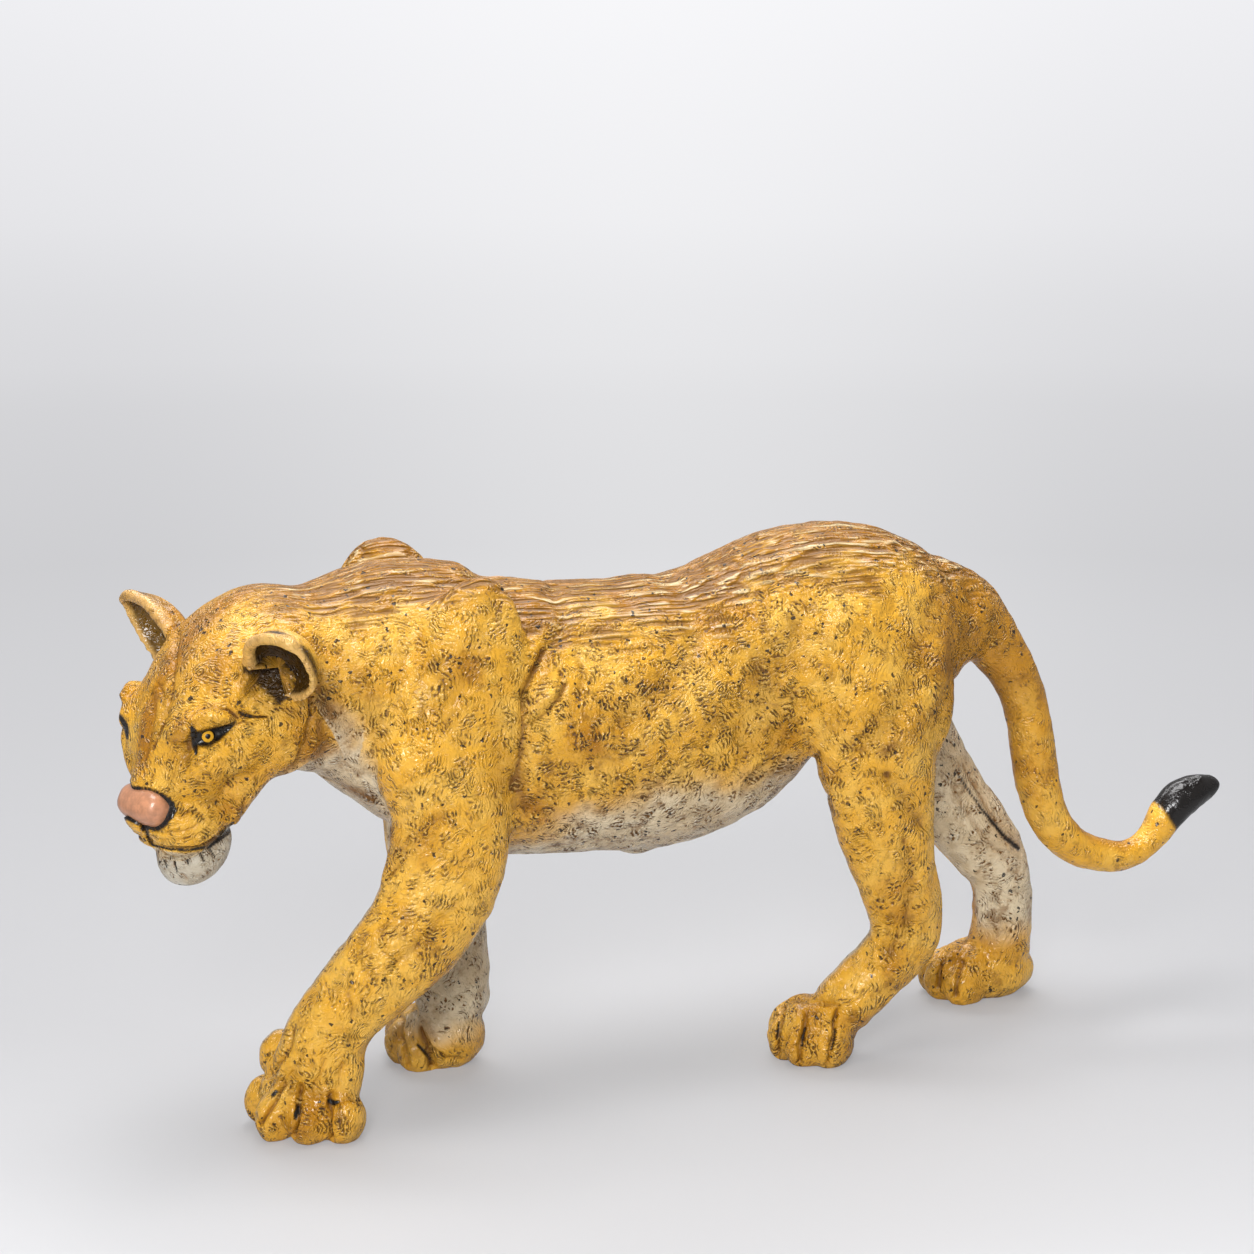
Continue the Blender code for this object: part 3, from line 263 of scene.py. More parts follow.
# Strokes over the camera's view: where, on which sides, depth in mm (a ridge is below zero), how much
# dark wash and painted shade fill its crease, and its points as pixels across, pixels down and half width in pixels
STROKES = (
    # the middle of the forehead and the bridge of the nose
    ("head", False, 0.45, 0.50, ((176, 632, 4), (174, 660, 3), (171, 688, 3), (168, 706, 3), (160, 728, 2.5),
                                 (152, 748, 2))),
    ("head", False, 0.30, 0.35, ((151, 694, 3), (153, 716, 3), (149, 738, 2.5), (144, 760, 2))),
    ("head", True, 0.22, 0.35, ((158, 684, 2), (163, 694, 2), (162, 706, 2))),
    # the fold over the upper lid, the lid's own edge and the hollow at the eye's inner corner
    ("head", True, 0.28, 0.35, ((190, 718, 2.5), (198, 709, 2.5), (212, 705, 2.5), (228, 710, 2.5), (238, 718, 2))),
    ("head", True, -0.85, 0.00, ((194, 722, 4), (203, 717, 5.5), (216, 716, 6), (230, 721, 4.5))),
    ("head", True, 0.75, 0.00, ((198, 737, 5.5), (207, 736, 7.5), (219, 733, 5))),
    ("head", True, 0.50, 0.10, ((190, 737, 5), (187, 752, 5), (184, 768, 5))),
    ("head", True, -0.25, 0.00, ((200, 750, 3.5), (214, 746, 4), (230, 737, 3))),
    # the marks behind the eye and the edge of the cheek
    ("head", True, 0.35, 0.80, ((240, 713, 1.8), (247, 716, 2.2), (255, 717, 1.5), (268, 717, 1))),
    ("head", True, 0.20, 0.30, ((232, 726, 1.5), (243, 722, 1.5), (256, 724, 1.5))),
    ("head", True, 0.90, 0.70, ((313, 697, 4), (314, 718, 5), (310, 742, 5), (299, 764, 4), (284, 779, 3))),
    # the upper lip, the split under the nose and the mouth
    ("head", True, 0.22, 0.30, ((153, 831, 2), (169, 833, 2), (188, 830, 2), (206, 820, 1.8))),
    ("head", True, 0.16, 0.25, ((160, 839, 1.6), (180, 840, 1.6), (199, 835, 1.6), (213, 824, 1.5))),
    ("head", True, 0.25, 0.35, ((182, 816, 2), (190, 811, 2), (199, 813, 2), (204, 818, 1.5))),
    ("head", False, 0.55, 0.95, ((142, 828, 2.0), (147, 836, 1.6), (152, 844, 1.8))),
    ("head", True, 0.70, 1.00, ((151, 845, 2.0), (169, 849, 2.0), (192, 850, 2.2), (209, 845, 2.4), (219, 838, 3.0),
                                (227, 830, 3.2), (232, 825, 2.2))),
    ("lower_jaw", True, 0.55, 1.00, ((151, 846, 2.2), (169, 850, 2.2), (192, 851, 2.2), (209, 846, 2.4),
                                     (219, 839, 3.0))),
    ("head", True, -0.30, 0.00, ((237, 806, 5), (236, 818, 5), (229, 835, 4))),
    ("head", True, 0.30, 0.50, ((246, 800, 2.5), (243, 818, 2), (236, 838, 2))),
    # the chin's spread of furrows
    ("lower_jaw", True, 0.20, 0.75, ((163, 851, 1.2), (165, 864, 1))),
    ("lower_jaw", True, 0.20, 0.75, ((173, 852, 1.2), (174, 867, 1))),
    ("lower_jaw", True, 0.16, 0.60, ((186, 852, 1.0), (187, 864, 1))),
    ("lower_jaw", True, 0.20, 0.65, ((199, 850, 1.2), (204, 861, 1))),
    ("lower_jaw", True, 0.20, 0.65, ((208, 848, 1.2), (214, 858, 1))),
    ("lower_jaw", True, 0.20, 0.80, ((182, 874, 1.5), (187, 879, 2))),
    # the shoulder blade's rear edge, the furrows behind it and under the elbow
    ("body", True, 0.50, 0.25, ((552, 590, 7), (564, 614, 9), (560, 636, 9), (546, 652, 7), (532, 678, 6),
                                (525, 694, 5))),
    ("body", True, 0.65, 0.80, ((543, 650, 3), (533, 676, 4), (525, 692, 4.5), (523, 709, 4.5), (524, 732, 5),
                                (521, 758, 6), (515, 790, 7))),
    ("body", True, 0.40, 0.65, ((566, 684, 2.5), (561, 695, 3.5), (552, 707, 3.5), (540, 718, 3), (528, 726, 3))),
    ("body", True, 0.25, 0.40, ((577, 652, 3), (583, 674, 4), (579, 698, 3.5))),
    ("body", True, 0.22, 0.35, ((560, 670, 3), (562, 682, 3))),
    ("body", True, -0.35, 0.00, ((556, 690, 6), (544, 702, 7), (533, 712, 5))),
    ("body", True, -0.40, 0.00, ((533, 640, 9), (526, 668, 11), (515, 690, 8))),
    ("body", True, 0.35, 0.20, ((500, 596, 9), (489, 628, 12), (470, 662, 12), (455, 700, 9))),
    ("body", True, 0.40, 0.25, ((420, 640, 9), (424, 680, 12), (440, 716, 12), (462, 742, 9))),
    ("body", True, 0.30, 0.75, ((524, 772, 7), (520, 792, 9), (526, 806, 7))),
    # the ribs' rear edge, the flank's hollow and the fold before the thigh
    ("body", True, 0.50, 0.45, ((694, 640, 12), (680, 668, 16), (664, 690, 18), (646, 706, 16), (628, 722, 12))),
    ("body", True, 0.60, 0.45, ((796, 640, 16), (782, 668, 20), (766, 694, 22), (750, 722, 18), (742, 750, 12))),
    ("body", True, -0.35, 0.00, ((720, 640, 14), (712, 690, 18), (700, 730, 14))),
    ("body", True, 0.20, 0.40, ((762, 704, 4), (780, 714, 5), (800, 722, 4))),
    ("body", True, 0.18, 0.30, ((522, 812, 5), (556, 786, 7), (590, 768, 8), (612, 756, 6))),
    ("body", True, 0.20, 0.25, ((640, 776, 12), (680, 778, 14), (716, 764, 12))),
    # the groin's edge and the shaded skin beyond it
    ("body", True, 0.35, 0.60, ((744, 796, 3), (752, 778, 4), (768, 764, 4), (790, 758, 4))),
    # the thigh's furrows and the root of the tail
    ("body", True, 0.50, 0.45, ((938, 596, 8), (926, 620, 12), (917, 650, 14), (915, 684, 13), (901, 711, 12),
                                (885, 735, 10), (862, 750, 8))),
    ("left_hind_leg", False, 0.50, 0.45, ((888, 776, 5), (899, 794, 8), (911, 810, 8), (924, 826, 6))),
    ("body", True, -0.40, 0.00, ((876, 606, 12), (870, 660, 16), (856, 704, 14))),
    ("body", True, -0.35, 0.00, ((944, 640, 9), (938, 684, 12), (918, 724, 12), (906, 752, 9))),
    ("body", False, 0.30, 0.60, ((966, 582, 4), (971, 596, 5), (973, 611, 5), (969, 638, 6))),
    ("left_hind_leg", False, 0.45, 0.45, ((905, 842, 5), (913, 868, 5), (911, 896, 6), (905, 925, 6), (890, 950, 6))),
    ("left_hind_leg", False, -0.35, 0.00, ((924, 866, 8), (926, 900, 8), (916, 932, 8))),
    ("right_hind_leg", False, 0.40, 0.75, ((964, 764, 2.5), (978, 790, 3), (990, 812, 3.5), (1004, 834, 5),
                                           (1018, 846, 6))),
    ("right_hind_leg", False, 0.25, 0.55, ((950, 780, 2.5), (966, 812, 3), (984, 836, 3), (1006, 858, 3))),
    # the near foreleg: elbow, forearm and the bump and line at the wrist
    ("left_foreleg", False, 0.45, 0.50, ((408, 838, 3), (403, 858, 3), (390, 874, 3))),
    ("left_foreleg", False, -0.30, 0.00, ((444, 832, 7), (462, 846, 7), (476, 858, 6))),
    ("left_foreleg", False, 0.35, 0.20, ((455, 905, 6), (420, 944, 6), (390, 968, 5))),
    ("left_foreleg", False, 0.25, 0.35, ((347, 994, 2), (352, 1008, 2), (351, 1020, 2))),
    ("left_foreleg", False, 0.60, 0.50, ((291, 1028, 2.5), (288, 1048, 3), (277, 1066, 3), (268, 1077, 3))),
    # the near forepaw's toes and knuckles
    ("left_foreleg", False, 0.90, 0.95, ((281, 1084, 2.5), (276, 1096, 3.2), (270, 1110, 2.6), (259, 1124, 2))),
    ("left_foreleg", False, 0.90, 0.95, ((300, 1090, 3.0), (298, 1104, 3.4), (297, 1122, 3), (290, 1143, 2.2))),
    ("left_foreleg", False, 0.90, 0.95, ((333, 1094, 2.6), (330, 1108, 3), (329, 1124, 2.6), (331, 1143, 2.2))),
    ("left_foreleg", False, 0.35, 0.40, ((301, 1088, 2.5), (310, 1096, 2.5), (322, 1097, 2.5), (332, 1094, 2.5))),
    ("left_foreleg", False, 0.35, 0.55, ((336, 1103, 3), (348, 1099, 2.5), (360, 1100, 2))),
    ("left_foreleg", False, 0.28, 0.35, ((303, 1053, 2.2), (296, 1068, 2.5), (289, 1080, 2.5))),
    ("left_foreleg", False, 0.28, 0.35, ((325, 1060, 2.2), (320, 1076, 2.5), (312, 1088, 2.5))),
    ("left_foreleg", False, 0.28, 0.35, ((343, 1064, 2.2), (340, 1080, 2.5), (336, 1094, 2.5))),
    # the far forepaw
    ("right_foreleg", False, 0.80, 0.95, ((420, 1026, 3), (424, 1040, 3.5), (430, 1052, 4), (432, 1068, 3))),
    ("right_foreleg", False, 0.50, 0.70, ((402, 1018, 2.2), (400, 1034, 2.4), (404, 1050, 2.4), (408, 1066, 2))),
    ("right_foreleg", False, 0.35, 0.45, ((434, 1050, 3), (446, 1058, 2.5), (462, 1060, 2))),
    # the near hind paw
    ("left_hind_leg", False, 0.80, 0.90, ((783, 1006, 2.2), (780, 1022, 2.6), (777, 1040, 2.6), (778, 1056, 2))),
    ("left_hind_leg", False, 0.80, 0.90, ((806, 1012, 2.2), (804, 1028, 2.6), (800, 1046, 2.6), (800, 1064, 2))),
    ("left_hind_leg", False, 0.80, 0.90, ((836, 1010, 2.2), (836, 1028, 2.6), (832, 1046, 2.6), (828, 1063, 2))),
    ("left_hind_leg", False, 0.45, 0.60, ((777, 1003, 2.5), (794, 998, 2.8), (814, 1002, 2.8), (838, 1006, 2.5))),
    # the far hind paw
    ("right_hind_leg", False, 0.60, 0.85, ((944, 958, 2), (940, 972, 2.4), (938, 988, 2.4))),
    ("right_hind_leg", False, 0.60, 0.85, ((962, 962, 2), (958, 976, 2.4), (956, 996, 2.4))),
)

# Dark wash rubbed into the hide, with painted shade in furrows, hollows, along muscles and behind the ear and cheek:
# where, how strong, and its points as above
WASH_AND_SHADE_STROKES = (
    ("body", 0.55, ((646, 706, 12), (656, 692, 15), (672, 676, 14))),
    ("body", 0.45, ((556, 768, 12), (585, 760, 14), (612, 762, 12))),
    ("body", 0.85, ((746, 648, 14), (762, 672, 18), (778, 696, 20), (764, 724, 16))),
    ("body", 0.45, ((690, 724, 10), (716, 716, 12), (738, 730, 12))),
    ("body", 0.35, ((424, 640, 12), (440, 676, 14), (456, 706, 12))),
    ("body", 0.50, ((506, 716, 9), (504, 760, 10), (498, 806, 10))),
    ("body", 0.35, ((655, 842, 14), (690, 826, 14), (726, 806, 12))),
    ("body", 0.95, ((750, 780, 7), (770, 772, 9), (794, 768, 8))),
    ("body", 0.40, ((532, 806, 10), (566, 796, 10))),
    ("head", 0.75, ((240, 660, 6), (247, 688, 8), (270, 708, 8), (300, 712, 7))),
    ("head", 0.45, ((178, 712, 6), (184, 738, 5), (188, 758, 4))),
    ("head", 0.80, ((200, 616, 10), (186, 648, 8), (177, 682, 6), (166, 712, 5))),
    ("head", 0.40, ((214, 640, 7), (222, 664, 7), (214, 690, 6))),
    ("neck", 0.70, ((320, 730, 8), (340, 720, 9), (352, 746, 9), (334, 772, 8))),
    ("body", 0.75, ((548, 606, 8), (556, 632, 9), (548, 664, 9), (536, 706, 8))),
    ("body", 0.95, ((530, 700, 5), (526, 736, 6), (520, 776, 6), (514, 806, 6))),
    ("body", 0.45, ((470, 560, 9), (520, 566, 10), (560, 574, 9))),
    ("body", 0.40, ((330, 600, 10), (380, 584, 12), (440, 590, 12))),
    ("body", 0.45, ((640, 600, 10), (700, 586, 12), (770, 570, 12), (850, 566, 12))),
    ("neck", 1.10, ((318, 668, 6), (320, 690, 10), (326, 704, 10), (334, 716, 8))),
    ("neck", 0.95, ((313, 770, 6), (340, 782, 7), (372, 800, 7))),
    ("neck", 0.85, ((318, 722, 7), (324, 746, 8), (318, 768, 6))),
    ("neck", 0.60, ((350, 690, 12), (372, 712, 12), (384, 744, 10))),
    ("neck", 0.60, ((332, 640, 8), (346, 660, 10), (366, 684, 10))),
    ("body", 1.00, ((946, 640, 7), (950, 670, 9), (934, 706, 9), (912, 734, 10), (884, 752, 8))),
    ("body", 0.80, ((930, 604, 6), (918, 636, 8), (908, 676, 8), (884, 716, 8), (850, 746, 7))),
    ("body", 0.35, ((836, 726, 12), (858, 742, 10))),
    ("left_foreleg", 0.50, ((384, 866, 9), (400, 850, 10), (424, 836, 9))),
    ("left_foreleg", 0.35, ((372, 950, 10), (404, 916, 10))),
    ("left_foreleg", 0.60, ((276, 1082, 5), (300, 1092, 5), (330, 1092, 5), (352, 1096, 4))),
    ("right_foreleg", 0.65, ((424, 1022, 7), (432, 1034, 7))),
    ("right_foreleg", 0.50, ((392, 1016, 6), (404, 1040, 6), (436, 1060, 6))),
    ("left_hind_leg", 0.75, ((908, 852, 6), (912, 890, 6), (904, 930, 6), (890, 952, 6))),
    ("left_hind_leg", 0.45, ((784, 1000, 6), (812, 1000, 6), (840, 1004, 6))),
    ("right_hind_leg", 0.60, ((1002, 836, 6), (1014, 850, 7))),
    ("tail", 0.55, ((972, 640, 5), (990, 664, 6), (1003, 700, 5), (1016, 752, 4), (1026, 800, 3))),
)

# Pale paint under the mouth
PALE_STROKES = (
    ("head", ((154, 855, 6), (168, 858, 6), (186, 860, 6), (204, 857, 6), (220, 846, 5))),
)

# Black paint: eyelids, tear lines, the rim of the nose and the nostrils; black also stands as painted shade in the
# far hind leg's hollow and in the gaps between the toes
BLACK_STROKES = (
    ("head", True, ((192, 728, 2.0), (195, 735, 5.0), (200, 739, 7.4), (207, 738, 9.2), (215, 735, 7.2),
                    (222, 731, 5.0), (229, 727, 3.0), (235, 722, 1.2))),
    ("head", True, ((195, 738, 3.8), (195, 746, 3.0), (196, 754, 1.2))),
    ("head", True, ((170, 803, 3.0), (174, 810, 3.0), (171, 817, 2.4), (164, 822, 2.2), (156, 824, 3.0),
                    (149, 826, 3.4), (143, 829, 2.4))),
    ("head", True, ((124, 788, 1.4), (138, 788, 1.6), (152, 791, 1.8), (163, 796, 2.2), (172, 804, 2.8))),
    ("head", False, ((147, 830, 1.8), (148, 838, 1.5), (152, 844, 1.5))),
    ("head", True, ((152, 845, 1.1), (170, 849, 1.1), (190, 850, 1.2), (206, 847, 1.6), (216, 841, 3.0),
                    (223, 835, 4.4), (229, 829, 3.0), (233, 823, 1.4))),
    ("head", True, ((240, 713, 1.0), (246, 716, 1.8), (254, 717, 1.2), (266, 717, 0.6))),
    # painted shade: the next two strokes put black in the far hind leg's hollow
    ("right_hind_leg", False, ((978, 804, 0.8), (992, 822, 1.4), (1006, 838, 2.0), (1018, 848, 2.2))),
    ("right_hind_leg", False, ((956, 770, 0.6), (968, 790, 0.9), (980, 806, 0.8))),
    ("head", False, ((118, 713, 1.0), (121, 718, 2.2), (125, 725, 2.8), (127, 733, 2.0), (127, 739, 0.8))),
    ("lower_jaw", True, ((208, 848, 1.2), (218, 840, 2.2), (227, 832, 2.8), (233, 825, 1.4))),
    # painted shade: the next seven strokes put black in the gaps between the toes
    ("left_foreleg", False, ((276, 1092, 2.0), (273, 1095, 2.0))),
    ("left_foreleg", False, ((298, 1107, 2.0), (297, 1113, 3.0), (295, 1118, 1.6))),
    ("left_foreleg", False, ((330, 1101, 2.4), (334, 1103, 2.6), (338, 1102, 1.4))),
    ("right_foreleg", False, ((418, 1045, 1.2), (424, 1051, 1.8), (430, 1059, 1.2))),
    ("left_hind_leg", False, ((779, 1022, 0.9), (778, 1030, 1.2), (777, 1038, 0.8))),
    ("left_hind_leg", False, ((805, 1028, 0.9), (803, 1036, 1.2), (802, 1046, 0.8))),
    ("left_hind_leg", False, ((835, 1030, 0.9), (834, 1040, 1.2), (831, 1050, 0.8))),
    ("lower_jaw", True, ((163, 852, 0.9), (164, 860, 0.8), (167, 868, 0.5))),
    ("lower_jaw", True, ((174, 853, 0.9), (175, 862, 0.7), (177, 872, 0.5))),
    ("lower_jaw", True, ((186, 853, 0.8), (188, 864, 0.5))),
    ("lower_jaw", True, ((199, 851, 0.9), (204, 861, 0.5))),
    ("lower_jaw", True, ((209, 848, 0.9), (215, 857, 0.5))),
)


def clamp(values, low=0.0, high=1.0):
    return np.clip(values, low, high)


def ease(values, low, high):
    """0 below low, 1 above high, and an even curve between them."""
    t = clamp((values - low) / (high - low))
    return t * t * (3 - 2 * t)


def unit(vectors):
    return vectors / np.maximum(np.linalg.norm(vectors, axis=-1, keepdims=True), 1e-12)


class FigureSizes(bpy.types.PropertyGroup):
    """The sizes of the sculpted skin."""
    voxel: bpy.props.FloatProperty(
        name="Skin step", description="How finely the forms are worked into one skin",
        default=0.00033, min=0.0001, unit="LENGTH")
    body_softness: bpy.props.FloatProperty(
        name="Body softness", description="How far the body's muscles blend into each other",
        default=0.0024, min=0, unit="LENGTH")
    head_softness: bpy.props.FloatProperty(
        name="Head softness", description="How far the forms of the head blend into each other",
        default=0.0012, min=0, unit="LENGTH")
    paw_softness: bpy.props.FloatProperty(
        name="Paw softness", description="How far the toes blend into each other",
        default=0.0009, min=0, unit="LENGTH")
    lump_height: bpy.props.FloatProperty(
        name="Lump height", description="How high the uneven lumps of the hide stand",
        default=0.00014, min=0, unit="LENGTH")
    fur_spacing: bpy.props.FloatProperty(
        name="Fur spacing", description="From one carved hair groove to the next",
        default=0.00062, min=0.0001, unit="LENGTH")
    fur_depth: bpy.props.FloatProperty(
        name="Fur depth", description="How deep the carved hair grooves look",
        default=0.00042, min=0, unit="LENGTH")


class FigurePaints(bpy.types.PropertyGroup):
    """The paints of the figure."""
    golden: bpy.props.FloatVectorProperty(
        name="Golden", description="Paint of the flanks and legs", subtype="COLOR", size=3,
        default=(0.84, 0.425, 0.034), min=0, max=1)
    amber: bpy.props.FloatVectorProperty(
        name="Amber", description="Paint of the back, the crown and the hollows", subtype="COLOR", size=3,
        default=(0.47, 0.190, 0.004), min=0, max=1)
    cream: bpy.props.FloatVectorProperty(
        name="Cream", description="Paint of the belly, throat, chin and inner legs", subtype="COLOR", size=3,
        default=(0.80, 0.665, 0.45), min=0, max=1)
    chin: bpy.props.FloatVectorProperty(
        name="Chin", description="Paint of the chin", subtype="COLOR", size=3,
        default=(0.66, 0.61, 0.50), min=0, max=1)
    # The dark wash paint, which also gives the painted shade in hollows, creases and the ear cups
    wash_and_shade: bpy.props.FloatVectorProperty(
        name="Dark wash", description="Thin dark paint that settles in the grooves", subtype="COLOR", size=3,
        default=(0.045, 0.018, 0.005), min=0, max=1)
    black: bpy.props.FloatVectorProperty(
        name="Black", description="Paint of the eyelids, nostrils and tail tip", subtype="COLOR", size=3,
        default=(0.010, 0.008, 0.007), min=0, max=1)
    nose: bpy.props.FloatVectorProperty(
        name="Nose", description="Paint of the nose pad", subtype="COLOR", size=3,
        default=(0.68, 0.31, 0.165), min=0, max=1)
    iris: bpy.props.FloatVectorProperty(
        name="Iris", description="Paint of the ring round the pupil", subtype="COLOR", size=3,
        default=(0.80, 0.42, 0.03), min=0, max=1)


class StageSizes(bpy.types.PropertyGroup):
    """The studio."""
    azimuth: bpy.props.FloatProperty(
        name="Azimuth", description="How far the camera stands round from square on to the flank",
        default=radians(-20.0), subtype="ANGLE")
    elevation: bpy.props.FloatProperty(
        name="Elevation", description="How far the camera looks down", default=radians(12.0), subtype="ANGLE")
    distance: bpy.props.FloatProperty(
        name="Distance", description="From the camera to the point it looks at", default=0.351, unit="LENGTH")
    lens: bpy.props.FloatProperty(
        name="Lens", description="Focal length on a 36 mm sensor", default=74.64)
    overhead: bpy.props.FloatProperty(
        name="Overhead lamp", description="Power of the soft box over the figure", default=2.9, unit="POWER")
    front: bpy.props.FloatProperty(
        name="Front lamp", description="Power of the soft box before the figure", default=3.5, unit="POWER")
    rim: bpy.props.FloatProperty(
        name="Rim lamp", description="Power of the narrow box behind the figure", default=1.4, unit="POWER")


# The picture's width in pixels, the sensor's width in mm and the point the camera looks at
PICTURE = 1254
SENSOR_WIDTH = 36.0
AIM_SHARES = (0.0134, 0.1150, 0.5790)


class View:
    """The photograph's camera, for placing strokes: where each point of the skin falls in the picture."""

    def __init__(self, stage):
        turn, tilt = stage.azimuth, stage.elevation
        self.back = np.array((sin(turn) * cos(tilt), -cos(turn) * cos(tilt), sin(tilt)))
        self.right = np.array((cos(turn), sin(turn), 0.0))
        self.up = np.cross(self.back, self.right)
        self.place = np.array(BODY_GRID @ Vector(AIM_SHARES)) + self.back * stage.distance
        self.focus = PICTURE * stage.lens / SENSOR_WIDTH

    def pixels(self, points):
        """How many pixels across and down each point falls in the picture."""
        rays = points - self.place
        depth = -(rays @ self.back)
        across = PICTURE / 2 + self.focus * (rays @ self.right) / depth
        down = PICTURE / 2 - self.focus * (rays @ self.up) / depth
        return np.stack((across, down), axis=1)

    def facing(self, points, normals):
        return np.sum(unit(self.place - points) * normals, axis=1)


def head_grid():
    """Places the head's drawing: forwards, to its left and up, turned and bowed."""
    yaw, pitch = radians(HEAD_YAW), radians(HEAD_PITCH)
    forwards = Vector((-cos(yaw) * cos(pitch), -sin(yaw) * cos(pitch), -sin(pitch)))
    left = Vector((sin(yaw), -cos(yaw), 0))
    axes = Matrix((forwards, left, forwards.cross(left))).transposed().to_4x4()
    return Matrix.Translation(BODY_GRID @ Vector(EYES_SHARES)) @ axes @ Matrix.Scale(STEP, 4)


def turned(turns):
    x, y, z = (radians(angle) for angle in turns)
    return Matrix.Rotation(z, 4, "Z") @ Matrix.Rotation(y, 4, "Y") @ Matrix.Rotation(x, 4, "X")


def spline(rows):
    """The rows with smooth steps between them, along a Catmull-Rom curve."""
    smooth_rows = []
    for i in range(len(rows) - 1):
        before, start = rows[max(i - 1, 0)], rows[i]
        end, after = rows[i + 1], rows[min(i + 2, len(rows) - 1)]
        for step in range(STEPS_BETWEEN_ROWS):
            t = step / STEPS_BETWEEN_ROWS
            smooth_rows.append(tuple(
                (2 * b + (c - a) * t + (2 * a - 5 * b + 4 * c - d) * t ** 2
                 + (3 * b - a - 3 * c + d) * t ** 3) / 2
                for a, b, c, d in zip(before, start, end, after)))
    smooth_rows.append(rows[-1])
    return smooth_rows


def mirrored(rows):
    return tuple((row[0], -row[1], *row[2:]) for row in rows)


def add_loft(mesh, rows, grid):
    """Adds a closed limb of elliptical rings along the rows, with a domed end at each end."""
    rows = spline(rows)
    places = [Vector(row[:3]) for row in rows]
    sideways = Vector((0, 1, 0))
    rings = []
    for i, row in enumerate(rows):
        along = (places[min(i + 1, len(rows) - 1)] - places[max(i - 1, 0)]).normalized()
        across = along.cross(sideways).normalized()
        rings.append((places[i], across * row[3], sideways * row[4]))
        if i in (0, len(rows) - 1):
            out = along * min(row[3], row[4]) * (1 if i else -1)
            dome = [(places[i] + out * sin(turn), rings[-1][1] * cos(turn), rings[-1][2] * cos(turn))
                    for turn in (pi / 2 * share for share in DOME_SHARES)]
            rings[len(rings) - 1:] = [rings[-1]] + dome if i else dome[::-1] + [rings[-1]]
    loops = []
    for middle, across, side in rings:
        loops.append([mesh.verts.new(grid @ (middle + across * cos(turn) + side * sin(turn)))
                      for turn in (2 * pi * k / RING_SIDES for k in range(RING_SIDES))])
    for first, second in zip(loops, loops[1:]):
        for k in range(RING_SIDES):
            mesh.faces.new((first[k], first[k - 1], second[k - 1], second[k]))
    mesh.faces.new(loops[0])
    mesh.faces.new(reversed(loops[-1]))


def add_ball(mesh, middle, radii, turns, grid):
    place = grid @ Matrix.Translation(middle) @ turned(turns) @ Matrix.Diagonal((*radii, 1))
    bmesh.ops.create_icosphere(mesh, subdivisions=4, radius=1, matrix=place)


def ear_frame(side):
    """The ear's own axes, on the head: out of its opening, across it and up to its tip."""
    grid = head_grid()
    facing = Vector(EAR_OPENING_SHARES[side]).normalized()
    rise = Vector(EAR_RISE_SHARES[side])
    rise = (rise - facing * rise.dot(facing)).normalized()
    axes = Matrix((facing, rise.cross(facing), rise)).transposed().to_4x4()
    turns = grid.to_3x3().normalized().to_4x4() @ Matrix.Diagonal((1, side, 1, 1)) @ axes
    return Matrix.Translation(grid @ (Vector(EAR_PLACE_SHARES[side]) * Vector((1, side, 1)))) @ turns


def add_ear(mesh, side):
    """Adds one ear: a leaf-shaped cup with a wall, and a bead along its rim."""
    place = ear_frame(side)

    def leaf(rise, round_turn, inset):
        """A point on the cup: rise is its turn from the foot to the tip, and round_turn from edge to edge."""
        deep, wide, tall = (radius - inset for radius in EAR_RADII)
        narrow = cos(rise) * (1 - EAR_POINT_SHARE * max(sin(rise), 0) ** 2)
        return place @ Vector((-deep * cos(round_turn) * narrow, wide * sin(round_turn) * narrow, tall * sin(rise)))

    rises = [-pi / 2 + pi * i / EAR_STEPS for i in range(EAR_STEPS + 1)]
    rounds = [-pi / 2 + pi * k / EAR_SIDES for k in range(EAR_SIDES + 1)]
    walls = []
    for inset in (0, EAR_WALL):
        walls.append([[mesh.verts.new(leaf(rise, turn, inset)) for turn in rounds] for rise in rises])
    outer, inner = walls
    for i in range(EAR_STEPS):
        for k in range(EAR_SIDES):
            mesh.faces.new((outer[i][k], outer[i][k + 1], outer[i + 1][k + 1], outer[i + 1][k]))
            mesh.faces.new((inner[i][k], inner[i + 1][k], inner[i + 1][k + 1], inner[i][k + 1]))
        for k in (0, EAR_SIDES):
            mesh.faces.new((outer[i][k], outer[i + 1][k], inner[i + 1][k], inner[i][k]))
    made = [vert for wall in walls for row in wall for vert in row]
    bmesh.ops.remove_doubles(mesh, verts=made, dist=MM / 100)
    for turn, radius in zip((-pi / 2, pi / 2), EAR_RIMS):
        for rise in rises[EAR_RIM_START:]:
            middle = leaf(rise, turn, EAR_WALL / 2)
            bmesh.ops.create_icosphere(mesh, subdivisions=2, radius=radius, matrix=Matrix.Translation(middle))


